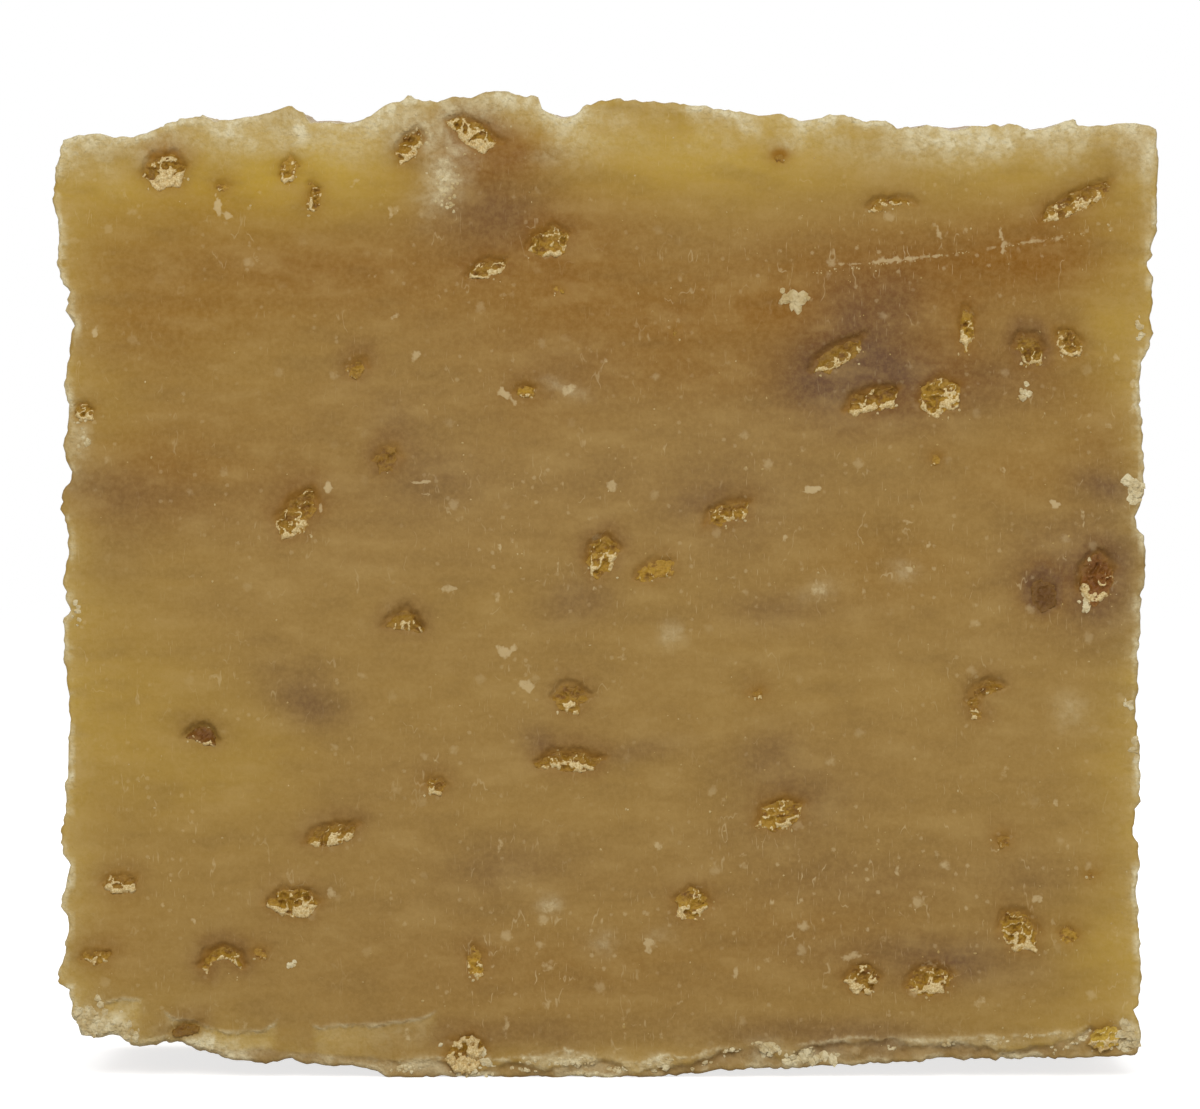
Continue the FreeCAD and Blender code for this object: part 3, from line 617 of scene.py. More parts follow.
# Small scuffs in the front, measured the same way.
SCUFFS = [
    (907, 522, 11, 5, 0.5, 10), (907, 570, 12, 7, 0.6), (819, 592, 18, 10, 0.5, 20), (803, 448, 5, 14, 0.4),
    (813, 489, 10, 7, 0.8), (1004, 471, 5, 12, 0.6), (1053, 504, 8, 7, 0.8), (1084, 522, 4, 13, 0.7),
    (928, 545, 6, 6, 0.6), (967, 411, 6, 9, 0.4), (1111, 362, 11, 15, 0.6), (1133, 381, 5, 9, 0.7),
    (1135, 407, 5, 7, 0.7), (1002, 530, 4, 9, 0.4), (786, 537, 5, 4, 0.6), (1108, 424, 6, 5, 0.5),
    (971, 516, 5, 5, 0.4), (846, 586, 5, 5, 0.5), (864, 596, 3, 11, 0.5), (417, 354, 7, 9, 0.6),
    (506, 396, 7, 16, 0.8, 30), (569, 390, 17, 8, 0.6, -25), (511, 369, 4, 6, 0.6),
    (605, 362, 4, 8, 0.6, -30), (327, 488, 6, 10, 0.8), (320, 506, 4, 10, 0.7), (460, 522, 8, 10, 0.4),
    (500, 547, 3, 5, 0.9), (612, 486, 8, 9, 0.6), (616, 459, 5, 7, 0.6), (507, 650, 12, 9, 0.7),
    (525, 686, 15, 9, 0.7, -20), (497, 598, 4, 9, 0.5), (527, 625, 5, 7, 0.5), (460, 625, 13, 7, 0.4),
    (448, 589, 11, 4, 0.6), (621, 658, 7, 5, 0.5), (558, 566, 3, 10, 0.6), (594, 589, 3, 8, 0.6),
    (356, 609, 6, 11, 0.3), (419, 594, 12, 4, 0.5), (425, 482, 14, 3, 0.8, 5), (426, 494, 14, 3, 0.6, -8),
    (658, 847, 6, 6, 0.6), (953, 890, 6, 8, 0.6), (897, 871, 5, 12, 0.6), (937, 853, 5, 9, 0.5),
    (1037, 898, 8, 11, 0.6, -20), (1008, 776, 10, 13, 0.4, 20), (1056, 808, 5, 13, 0.6),
    (651, 945, 13, 9, 0.7), (743, 855, 8, 4, 0.5, 20), (945, 794, 5, 7, 0.4), (852, 956, 18, 8, 0.6),
    (929, 964, 15, 5, 0.5), (979, 1001, 11, 7, 0.5, 30), (953, 998, 4, 13, 0.4), (884, 937, 13, 10, 0.4),
    (799, 858, 3, 9, 0.5), (767, 959, 9, 12, 0.4), (735, 972, 4, 7, 0.6), (661, 1033, 3, 9, 0.5),
    (719, 1033, 4, 8, 0.5), (1117, 935, 5, 11, 0.5), (674, 781, 7, 9, 0.4), (217, 207, 8, 10, 0.8, 30),
    (227, 215, 5, 7, 0.7), (258, 261, 9, 8, 0.4, 30), (313, 279, 16, 6, 0.4, -5), (371, 275, 13, 5, 0.5, 5),
    (397, 316, 10, 6, 0.6), (414, 353, 7, 9, 0.6), (352, 310, 8, 8, 0.3), (95, 335, 4, 6, 0.7),
    (200, 298, 6, 6, 0.4), (391, 215, 6, 8, 0.6), (383, 189, 11, 15, 0.4), (356, 183, 8, 8, 0.5),
    (275, 824, 8, 9, 0.3), (289, 875, 7, 9, 0.5), (334, 894, 10, 10, 0.6), (155, 852, 9, 6, 0.3),
    (163, 906, 5, 8, 0.5), (194, 920, 5, 4, 0.6), (118, 866, 4, 7, 0.5), (550, 905, 15, 9, 0.5),
    (499, 847, 4, 12, 0.5), (488, 794, 4, 6, 0.5), (496, 922, 4, 11, 0.5), (519, 950, 6, 7, 0.5),
    (550, 967, 11, 9, 0.5), (547, 1006, 7, 10, 0.5), (505, 1026, 6, 15, 0.5), (443, 1001, 4, 10, 0.5),
    (387, 942, 5, 7, 0.4), (359, 959, 6, 7, 0.3), (407, 1034, 5, 12, 0.5), (244, 1023, 5, 7, 0.5),
    (700, 152, 3, 10, 0.4), (590, 200, 4, 8, 0.4), (893, 260, 72, 3.2, 0.7, 6), (1034, 241, 66, 3, 0.55, 8),
    (940, 235, 3, 18, 0.6, 15), (1002, 241, 3.4, 22, 0.75, 8), (930, 170, 10, 6, 0.3),
    (1015, 300, 6, 12, 0.4), (983, 288, 5, 7, 0.5), (730, 330, 6, 5, 0.4),
]


def scuffed(x, z):
    """Ragged pale scuffs, from 0 to 1."""
    total = np.zeros_like(x)
    for px, py, wide, tall, strength, *lean in SCUFFS:
        cx, cz = spot(px, py)
        reach = SCUFF_REACH * max(wide, tall) * PIXEL
        near = (np.abs(x - cx) < reach) & (np.abs(z - cz) < reach)
        fx, fz = x[near], z[near]
        body = ellipse(fx, fz, px, py, wide, tall, *lean) ** 0.7 + 0.7 * rough(89, 0.5, fx, fz)
        total[near] = np.maximum(total[near], strength * step(0.3, 0.9, body))
    return total


def fields_at(x, z, fields):
    """The sum of some soft fields."""
    total = np.zeros_like(x)
    for px, py, wide, tall, strength, *lean in fields:
        total += strength * ellipse(x, z, px, py, wide, tall, *lean)
    return total


def front_crust_and_edge_light(x, z, rim):
    """The whitish painted light along the front's edges, and the whitish crusts along its top, on its torn
    skins and on its broken strip.
    """
    # Painted light: a patchy whitish line and a faint haze along every edge, as light comes through the thin
    # rim.
    pale_crust_and_edge_light = np.exp(-rim / EDGE_LIGHT_LINE) * patches(0.30, 1.1, 76, 1.8, x, z) + 0.10 * np.exp(-rim / EDGE_LIGHT_HAZE)
    edge, bare = skin_edge(x, z)
    pale_crust_and_edge_light += 0.5 * edge * (0.7 + 0.6 * rough(79, 0.9, x, z)) + 0.12 * bare
    top = step(HIGH[2] - TOP_CRUST, HIGH[2] - FULL_TOP_CRUST, z)
    pale_crust_and_edge_light += top * np.exp(-rim / TOP_EDGE_CRUST) * patches(0.15, 1.5, 77, 2.4, x, z)
    pale_crust_and_edge_light += top * np.exp(-(rim / TOP_HAZE) ** 2) * patches(0.20, 0.5, 90, 3.0, x, z, 4)
    flap = on_flap(x, z)
    pale_crust_and_edge_light += flap * patches(0.04, 0.5, 88, 0.9, x, z, 4)
    flap_edge = np.exp(-((over_break(x, z) + 0.05) / 0.07) ** 2)
    pale_crust_and_edge_light += 0.30 * flap * flap_edge * (1 + rough(68, 2.0, x, z))
    pale_crust_and_edge_light += 0.7 * below_break(x, z) * patches(-0.16, 1, 80, 1.6, x, z, 4)
    return pale_crust_and_edge_light


def front_masks(x, z, rim, flakes):
    """Seven masks for the front: honey, umber, plum, pale, amber, scuffs and wear. Honey and pale hold
    painted light along the edges, and plum holds painted shade over the flakes.

    Rim is the distance to the outline.
    """
    sway = rough(71, 7, x, z * 2.2)
    # Painted light: a yellow glow along the edges, as light comes through the thin rim.
    honey = 0.50 * np.exp(-rim / FRONT_HONEY) * (1 + 0.4 * sway)
    honey += fields_at(x, z, HONEY_FIELDS) * (1 + 0.25 * sway)
    honey += 0.12 * rough(72, 18, x * 0.5, z * 1.6) + 0.35 * skin_edge(x, z)[1]
    umber = fields_at(x, z, UMBER_FIELDS) * (1 + 0.35 * rough(73, 9, x * 0.45, z * 1.8))
    plum = fields_at(x, z, PLUM_FIELDS) * (1 + 0.3 * rough(74, 3.2, x, z * 1.5))
    cloud = fields_at(x, z, CLOUD_FIELDS) * (0.75 + 0.9 * rough(75, 1.3, x, z, 4))
    low_strip = below_break(x, z)
    honey *= 1 - 0.7 * low_strip
    plum += 0.2 * low_strip * (1 + rough(69, 2.5, x, z))
    pale = np.clip(cloud, 0, 1) + np.clip(front_crust_and_edge_light(x, z, rim), 0, 1)
    amber = np.zeros_like(x)
    for flake in flakes:
        near = flake.near(x, z, GLOW_MARGIN)
        fx, fz = x[near], z[near]
        # Painted shade: the dark halo is moved up over the flake, where shade falls under light from above,
        # together with the flake showing through the soap.
        halo = flake.halo * flake.glow(fx, fz, HALO, HALO_RISE)
        plum[near] = np.maximum(plum[near], halo * (0.25 + 0.75 * flake.dark))
        umber[near] += halo * 0.5
        upper = step(-1.2, 0.6, flake.climb(fx, fz))
        ring = flake.glow(fx, fz, RING) * (0.15 + 0.6 * flake.halo * upper) * flake.clear
        amber[near] = np.maximum(amber[near], ring)
        pale[near] *= 1 - 0.8 * flake.glow(fx, fz, CLEARING)
    amber += fields_at(x, z, AMBER_FIELDS)
    return honey, umber, plum, pale, amber, scuffed(x, z), fields_at(x, z, WORN_FIELDS)


def plain_masks(x, z, along, rim, seed, flakes=(), crusted=0):
    """The same seven masks for the faces that the photograph doesn't show."""
    sway = rough(seed, 8, x + along, z * 1.8)
    # Painted light: a yellow glow along the edges, as light comes through the thin rim.
    honey = 0.25 + 0.75 * np.exp(-rim / PLAIN_HONEY) * (1 + 0.4 * sway)
    honey += 0.45 * rough(seed + 1, 16, x + along, z)
    umber = 0.25 + 0.5 * rough(seed + 2, 14, x + along, z * 1.5)
    plum = patches(-0.45, 1.3, seed + 3, 6, x + along, z * 1.4)
    # Painted light: a whitish line along the edges of the faces that aren't seen.
    pale = np.exp(-rim / 0.35) * (0.5 + 0.6 * rough(seed + 4, 1.6, x + along, z))
    pale += crusted * np.minimum(patches(0.12, 0.5, seed + 5, 6.0, x, along, 4), 0.5)
    amber = np.zeros_like(x)
    for flake in flakes:
        near = flake.near(x, z, GLOW_MARGIN)
        fx, fz = x[near], z[near]
        tight = flake.glow(fx, fz, CLEARING, PLAIN_RISE)
        # Painted shade, as in the front: the dark halo is moved up over the flake, together with the flake
        # showing through the soap.
        halo = flake.halo * flake.dark * flake.glow(fx, fz, PLAIN_HALO, PLAIN_RISE)
        plum[near] = np.maximum(plum[near], halo)
        amber[near] = np.maximum(amber[near], tight * (0.25 + 0.75 * flake.halo))
        pale[near] *= 1 - 0.8 * tight
    return honey, umber, plum, pale, amber, np.zeros_like(x), np.zeros_like(x)


# Meshes

# Coarse and fine pitch of the points in each face, and how far they stray, in fine pitches.
FRONT_PITCHES, BACK_PITCHES = (0.48, 0.16), (1.0, 0.25)
LATTICE_STRAY, BORDER_GAP = 0.28, 0.6
FRONT_POINT_SEED, BACK_POINT_SEED = 11, 12
# How the triangulation treats its border, and the distance at which it takes two points as one.
INSIDE_FACES, MERGE_DISTANCE = 1, 1e-7
# The angles at which the rims' rounding has its rings.
FRONT_RIM_ANGLES, BACK_RIM_ANGLES = np.radians([0, 25, 50, 75, 90]), np.radians([70, 45, 20, 0])
RIM_ROUNDING, CRUMBLED_ROUNDING, BACK_ROUNDING = 0.30, 0.35, 0.4
SCALLOP, LEFT_SCALLOP, NICK = 0.18, 0.24, 0.10
# A spoke points up or sideways if that part of its direction is more than this.
MOSTLY = 0.7
# The band between the rims has this many rings, closer together near the front.
BAND_RINGS, BAND_GROWTH = 23, 1.35
# How fast a side may widen with depth and still stay behind the front's outline in the photograph.
HIDDEN_FLARE = 0.085
BACK_SINK = 0.03
LEAST_RIM = 0.05
BAND_SEED, BACK_SEED = 91, 92


def link(obj):
    """Put an object in the scene."""
    bpy.context.scene.collection.objects.link(obj)


def add_piece(name, corners, faces, masks, material):
    """A mesh from corners in millimetres, with masks kept as two colour attributes."""
    mesh = bpy.data.meshes.new(name)
    mesh.from_pydata((corners / PER_METRE).tolist(), [], faces.tolist())
    for layer, members in (("Tone", masks[:4]), ("Mark", masks[4:])):
        values = np.zeros((len(corners), 4), dtype=np.float32)
        for channel, member in enumerate(members):
            values[:, channel] = np.clip(member, 0, 1)
        attribute = mesh.attributes.new(layer, "FLOAT_COLOR", "POINT")
        attribute.data.foreach_set("color", values.ravel())
    mesh.polygons.foreach_set("use_smooth", [True] * len(mesh.polygons))
    mesh.update()
    piece = bpy.data.objects.new(name, mesh)
    link(piece)
    mesh.materials.append(material)
    return piece


def face_points(border, pitches, wants_fine, flakes, seed):
    """Points inside a border: a coarse lattice, with a fine one where it is wanted."""
    low, high = border.min(axis=0), border.max(axis=0)
    coarse, fine = pitches
    ratio = int(round(coarse / fine))
    columns = np.arange(int((high[0] - low[0]) / fine))
    rows = np.arange(int((high[1] - low[1]) / fine))
    column, row = [grid.ravel() for grid in np.meshgrid(columns, rows)]
    x, z = low[0] + (column + 0.5) * fine, low[1] + (row + 0.5) * fine
    keep = (column % ratio == 0) & (row % ratio == 0) | wants_fine(x, z, flakes)
    x, z = x[keep], z[keep]
    generator = np.random.default_rng(seed)
    x = x + generator.uniform(-LATTICE_STRAY, LATTICE_STRAY, len(x)) * fine
    z = z + generator.uniform(-LATTICE_STRAY, LATTICE_STRAY, len(z)) * fine
    inside = signed_distance(x, z, closed(border)) < -BORDER_GAP * fine
    return x[inside], z[inside]


def triangulate(border, x, z):
    """Triangles over a border's corners and the points inside it, numbered in that order."""
    points = [Vector(point) for point in np.concatenate([border, np.stack([x, z], axis=1)])]
    loop = [list(range(len(border)))]
    _, _, faces, origins, _, _ = delaunay_2d_cdt(points, [], loop, INSIDE_FACES, MERGE_DISTANCE, True)
    first = np.array([ids[0] for ids in origins])
    tris = first[np.array(faces)]
    # The triangles that bridge a dip in the border lie outside it and go.
    bridging = np.flatnonzero((tris < len(border)).all(axis=1))
    middle = border[tris[bridging]].mean(axis=1)
    outside = signed_distance(middle[:, 0], middle[:, 1], closed(border)) > 0
    return np.delete(tris, bridging[outside], axis=0)


class Outline:
    """The bar's outline along its spokes, and the rings of corners of its rims and band."""

    def __init__(self):
        self.origins, self.directions = spokes()
        self.depths, self.reaches = measured_outline(self.origins, self.directions)
        self.count = len(self.origins)
        self.way = np.arange(self.count) * SPOKE_PITCH
        self.level = np.zeros(self.count)
        self.top = self.directions[:, 1] > MOSTLY
        # Fine scallops: round outwards, sharp inwards.
        left = (self.directions[:, 0] < -MOSTLY) & ~self.top
        scallop = np.abs(noise(81, 0.8, self.way, self.level)) - 0.5
        nick = rough(82, 0.5, self.way, self.level)
        self.scallop = np.where(left, LEFT_SCALLOP, SCALLOP) * scallop + NICK * nick

    def at(self, reach):
        """The points across and up at a reach along each spoke."""
        return self.origins + self.directions * reach[:, None]

    def front_rim(self, flakes):
        """The reaches and depths of the rings that round the front's rim."""
        front = self.reaches[0]
        rounding = RIM_ROUNDING * (0.75 + 0.7 * np.abs(rough(83, 1.4, self.way, self.level)))
        rounding += CRUMBLED_ROUNDING * crumbled(*self.at(front).T)
        innermost = front + self.scallop - rounding
        sunk = front_depth(*self.at(innermost).T, flakes)
        rings = []
        for angle in FRONT_RIM_ANGLES:
            turn = math.sin(angle)
            reach = front + self.scallop * (0.7 + 0.3 * turn) - rounding * (1 - turn)
            y = FRONT_Y + sunk + rounding * (1 - math.cos(angle))
            rings.append((reach if angle else innermost, y))
        return rings

    def measured_reach(self, y):
        """The reach of the measured outline along each spoke, at a depth of its own."""
        reaches = np.stack(self.reaches, axis=1)
        return np.array([np.interp(depth, self.depths, spoke) for depth, spoke in zip(y, reaches)])

    def band(self, start, end):
        """The reaches and depths of the rings between the two rims."""
        rings = []
        for share in np.linspace(0, 1, BAND_RINGS + 1)[1:] ** BAND_GROWTH:
            y = start + (end - start) * share
            reach = np.minimum(self.measured_reach(y), self.reaches[0] + HIDDEN_FLARE * (y - FRONT_Y))
            fade = math.exp(-share * 6)
            own = rough(85, 1.7, self.way, y) * 0.09 + rough(86, 5.0, self.way, y) * 0.10
            own += np.where(self.top, 0.22 * rough(87, 3.0, self.way, y, 4), 0)
            rings.append((reach + self.scallop * fade + own * (1 - fade), y))
        return rings

    def rings(self, flakes):
        """Every ring's corners, from the front face's border to the back face's."""
        rings = self.front_rim(flakes)
        rounding = BACK_ROUNDING + 0.25 * np.abs(rough(84, 1.4, self.way, self.level))
        back_start = BACK_Y - rounding - BACK_SINK
        rings += self.band(rings[-1][1], back_start)
        last_reach = rings[-1][0]
        for angle in BACK_RIM_ANGLES:
            inset = rounding * (1 - math.sin(angle))
            rings.append((last_reach - inset, back_start + rounding * math.cos(angle)))
        corners = []
        for reach, y in rings:
            x, z = self.at(reach).T
            # The base stays on what the bar stands on.
            corners.append(np.stack([x, y, np.maximum(z, LOW[2])], axis=1))
        return corners


def close_to_flakes(x, z, flakes, reach):
    """Which points lie on a flake or within a reach of one."""
    close = np.zeros(len(x), dtype=bool)
    for flake in flakes:
        near = np.flatnonzero(flake.near(x, z, reach + 0.05))
        close[near[signed_distance(x[near], z[near], flake.outline) < reach]] = True
    return close


def fine_in_front(x, z, flakes):
    """Where the front face needs its fine points: flakes, scuffs and all that is torn or crumbled."""
    fine = close_to_flakes(x, z, flakes, 0.65)
    fine |= z < line_height(x, BREAK_LINE) + 1.6
    for line in TORN_SKINS:
        start, end = ends(line)
        fine |= (x > start) & (x < end) & (np.abs(z - line_height(x, line)) < 0.7)
    fine |= crumbled(x, z) > 0.15
    for px, py, wide, tall, _, *lean in SCUFFS:
        fine |= ellipse(x, z, px, py, wide, tall, *lean) > 0.12
    return fine


def fine_at_back(x, z, flakes):
    """Where the back face needs its fine points."""
    return close_to_flakes(x, z, flakes, 0.45)


def band_faces(rings, count):
    """Two triangles for each quad between neighbouring rings."""
    here = np.arange(count)
    beside = (here + 1) % count
    faces = []
    for ring in range(rings - 1):
        near, far = ring * count, (ring + 1) * count
        faces.append(np.stack([near + here, near + beside, far + beside], axis=1))
        faces.append(np.stack([near + here, far + beside, far + here], axis=1))
    return np.concatenate(faces)


def band_masks(band, on_top, front):
    """The front's masks on its rim, giving way to the plain ones along the band."""
    x, y, z = np.ascontiguousarray(band.T)
    away = np.maximum(np.minimum(y - FRONT_Y, BACK_Y - y), LEAST_RIM)
    near_front = front_masks(x, z, np.full(len(x), LEAST_RIM), front)
    plain = plain_masks(x, z, y, away, BAND_SEED, (), on_top)
    blend = step(0.3, 1.5, y - FRONT_Y)
    return [one * (1 - blend) + other * blend for one, other in zip(near_front, plain)]


def soap_mesh(material, front, back):
    """The soap: a front and a back face with their relief, joined by a ragged band."""
    outline = Outline()
    rings = outline.rings(front)
    band = np.concatenate(rings)
    front_border, back_border = rings[0][:, [0, 2]], rings[-1][:, [0, 2]]
    fx, fz = face_points(front_border, FRONT_PITCHES, fine_in_front, front, FRONT_POINT_SEED)
    bx, bz = face_points(back_border, BACK_PITCHES, fine_at_back, back, BACK_POINT_SEED)
    front_pieces = closed(outline.at(outline.reaches[0]))
    front_rim = -signed_distance(fx, fz, front_pieces)
    back_rim = -signed_distance(bx, bz, closed(outline.at(outline.reaches[-1])))
    front_y = FRONT_Y + front_depth(fx, fz, front)
    back_y = BACK_Y - BACK_SINK - back_depth(bx, bz, back) * step(0, 1.0, back_rim)
    corners = np.concatenate([band, np.stack([fx, front_y, fz], axis=1), np.stack([bx, back_y, bz], axis=1)])

    here, last_ring, back_first = np.arange(outline.count), len(band) - outline.count, len(band) + len(fx)
    front_ids = np.concatenate([here, len(band) + np.arange(len(fx))])
    back_ids = np.concatenate([last_ring + here, back_first + np.arange(len(bx))])
    faces = np.concatenate([
        band_faces(len(rings), outline.count),
        turned(front_ids[triangulate(front_border, fx, fz)], corners, -1),
        turned(back_ids[triangulate(back_border, bx, bz)], corners, 1),
    ])

    on_top = np.tile(outline.top.astype(float), len(rings))
    masks = [np.concatenate(parts) for parts in zip(
        band_masks(band, on_top, front),
        front_masks(fx, fz, front_rim, front),
        plain_masks(bx, bz, np.zeros(len(bx)), back_rim, BACK_SEED, back),
    )]
    return add_piece("soap_body", corners, faces, masks, material), front_pieces


def turned(tris, corners, side):
    """Triangles of a cap, turned to face outwards along Y."""
    a, b, c = corners[tris[:, 0]], corners[tris[:, 1]], corners[tris[:, 2]]
    facing = np.cross(b - a, c - a)[:, 1] * side
    return np.where((facing < 0)[:, None], tris[:, ::-1], tris)


# The pitch of a flake's grid of points, and how far past its outline the grid and the flake reach.
FRONT_FLAKE_PITCH, BACK_FLAKE_PITCH = 0.085, 0.13
GRID_MARGIN, FLAKE_MARGIN = 0.3, 0.10
POINT_STRAY = 0.3
# How thick a flake is at least, and how far it reaches below its recess.
LEAST_FLAKE, FLAKE_DEPTH, THINNER_EDGE = 0.15, 1.0, 0.4


def patch_triangles(within):
    """Triangles over the largest patch of a grid, from the cells that lie wholly within it."""
    cells = largest_patch(within[:-1, :-1] & within[1:, :-1] & within[:-1, 1:] & within[1:, 1:])
    width = within.shape[1]
    row, column = np.nonzero(cells)
    first = row * width + column
    return np.concatenate([
        np.stack([first, first + 1, first + width + 1], axis=1),
        np.stack([first, first + width + 1, first + width], axis=1),
    ])


def flake_masks(flake, ridge, sway, border, tint, own_colours):
    """A flake's six masks: cream, dark, edge, tint, red and gold. Cream is the pale crumb with painted
    highlight on the crests and the lower side; dark is the dark skin with painted shade in the crevices and
    on the upper side.
    """
    crest = 0.5 + 0.5 * ridge
    soaked = 1 - flake.clear
    # Painted light: the lower side, where light from above falls, gets more cream.
    lower = 1 - step(-0.8, 0.35, sway)
    wanted = flake.cream * (0.22 + 0.8 * lower) + 1.2 * max(flake.cream - 0.7, 0)
    # Painted highlight: besides the pale crumb, a thin pale line on every crest.
    cream = np.maximum(
        step(0.95 - wanted, 1.25 - wanted, crest),
        (0.2 + flake.cream) * flake.clear * step(0.84, 0.97, crest),
    )
    # Dark skin on the upper side, darkened there also as painted shade, and painted shade in the crevices.
    dark = 0.85 * flake.dark * step(-0.35, 0.8, sway) * (1 - 0.3 * np.clip(ridge, 0, 1))
    dark = np.maximum(np.maximum(dark, soaked), 0.55 * (1 - step(-0.1, 0.4, crest)))
    edge = step(-0.16 - 0.5 * soaked, 0.05, border)
    even = [np.full(len(crest), share) for share in (tint, *own_colours)]
    return [cream * (1 - 0.5 * edge), dark, edge, *even]


def flake_lump(flake, side, pitch, own_colours):
    """One flake's corners, faces and masks, as a closed lump."""
    (low_x, low_z), (high_x, high_z) = flake.low - GRID_MARGIN, flake.high + GRID_MARGIN
    grid_x, grid_z = np.meshgrid(np.arange(low_x, high_x, pitch), np.arange(low_z, high_z, pitch))
    x, z = grid_x.ravel(), grid_z.ravel()
    depth, ridge, sway, border = flake.surface(x, z)
    top = patch_triangles((border < FLAKE_MARGIN).reshape(grid_x.shape))
    used, numbered = np.unique(top, return_inverse=True)
    top = numbered.reshape(-1, 3)
    x, z, depth, ridge, sway, border = [values[used] for values in (x, z, depth, ridge, sway, border)]
    generator = np.random.default_rng(flake.seed)
    x = x + generator.uniform(-POINT_STRAY, POINT_STRAY, len(x)) * pitch
    z = z + generator.uniform(-POINT_STRAY, POINT_STRAY, len(z)) * pitch
    thick_depth = flake.recess + FLAKE_DEPTH - THINNER_EDGE * step(-0.5, 0.1, border)
    inner_depth = np.maximum(depth + LEAST_FLAKE, thick_depth)
    face_y = FRONT_Y if side < 0 else BACK_Y - BACK_SINK
    corners = [np.stack([x, face_y - side * sunk, z], axis=1) for sunk in (depth, inner_depth)]
    faces = np.concatenate([top, top[:, ::-1] + len(x), border_walls(top, len(x))])
    if side > 0:
        faces = faces[:, ::-1]
    masks = flake_masks(flake, ridge, sway, border, generator.uniform(0, 1), own_colours)
    return np.concatenate(corners), faces, [np.concatenate([mask, mask]) for mask in masks]


def flake_mesh(name, flakes, side, pitch, material):
    """Crumbly flakes in the front (side -1) or back (side 1) face, each a closed lump."""
    own_colours = OWN_COLOURS.get(name, (0, 0))
    corners, faces, masks = zip(*[flake_lump(flake, side, pitch, own_colours) for flake in flakes])
    firsts = np.cumsum([0] + [len(part) for part in corners])
    faces = [part + first for part, first in zip(faces, firsts)]
    masks = [np.concatenate(parts) for parts in zip(*masks)]
    return add_piece(name, np.concatenate(corners), np.concatenate(faces), masks, material)


def quartered(corners, tris):
    """The same surface with each triangle cut into four."""
    middles = (corners[tris] + corners[np.roll(tris, -1, axis=1)]) / 2
    first, second, third = len(corners) + np.arange(len(tris) * 3).reshape(-1, 3).T
    a, b, c = tris.T
    rows = [(a, first, third), (first, b, second), (third, second, c), (first, second, third)]
    faces = np.concatenate([np.stack(row, axis=1) for row in rows])
    points = np.concatenate([corners, middles.reshape(-1, 3)])
    welded, place = np.unique(np.round(points, 5), axis=0, return_inverse=True)
    return welded, place.reshape(-1)[faces]


def lump_mesh(name, node, cuts, material):
    """Flakes in the sides or inside the soap: their own form, made crumbly."""
    corners, tris = world_triangles(node)
    for _ in range(cuts):
        corners, tris = quartered(corners, tris)
    points = corners[tris]
    facing = np.cross(points[:, 1] - points[:, 0], points[:, 2] - points[:, 0])
    normal = np.zeros_like(corners)
    for column in range(3):
        np.add.at(normal, tris[:, column], facing)
    normal /= np.maximum(np.linalg.norm(normal, axis=1), 1e-12)[:, None]
    x, y, z = corners.T
    crumb = rough(95, 0.7, x + 0.6 * y, z + 0.4 * y)
    corners = corners + normal * (0.12 + 0.16 * crumb)[:, None]
    # Painted highlight and shade: the raised crumbs take the cream mask and the hollows between them the dark
    # one.
    ridge = step(0.0, 0.5, crumb)
    flat = np.zeros(len(corners))
    return add_piece(name, corners, tris, [ridge, 0.5 - 0.4 * ridge, flat, flat + 0.4, flat], material)


def largest_patch(cells):
    """The largest connected patch of a grid of cells."""
    label = np.where(cells, np.arange(cells.size).reshape(cells.shape) + 1, 0)
    while True:
        spread = label.copy()
        for axis, shift in ((0, 1), (0, -1), (1, 1), (1, -1)):
            moved = np.roll(label, shift, axis=axis)
            edge = 0 if shift > 0 else -1
            if axis == 0:
                moved[edge, :] = 0
            else:
                moved[:, edge] = 0
            spread = np.maximum(spread, moved)
        spread = np.where(cells, spread, 0)
        if (spread == label).all():
            break
        label = spread
    values, counts = np.unique(label[label > 0], return_counts=True)
    return label == values[counts.argmax()]


def border_walls(top, count):
    """Triangles that join the border of a patch to its copy, count corners further on."""
    edges = np.concatenate([top[:, [0, 1]], top[:, [1, 2]], top[:, [2, 0]]])
    key = edges[:, 0] * count + edges[:, 1]
    back_key = edges[:, 1] * count + edges[:, 0]
    border = edges[~np.isin(key, back_key)]
    start, end = border[:, 0], border[:, 1]
    return np.concatenate([
        np.stack([end, start, start + count], axis=1),
        np.stack([end, start + count, end + count], axis=1),
    ])


# Loose crumbs that stick to the soap

CRUMB_SEED, CRUMB_SHAPE_SEED = 21, 22
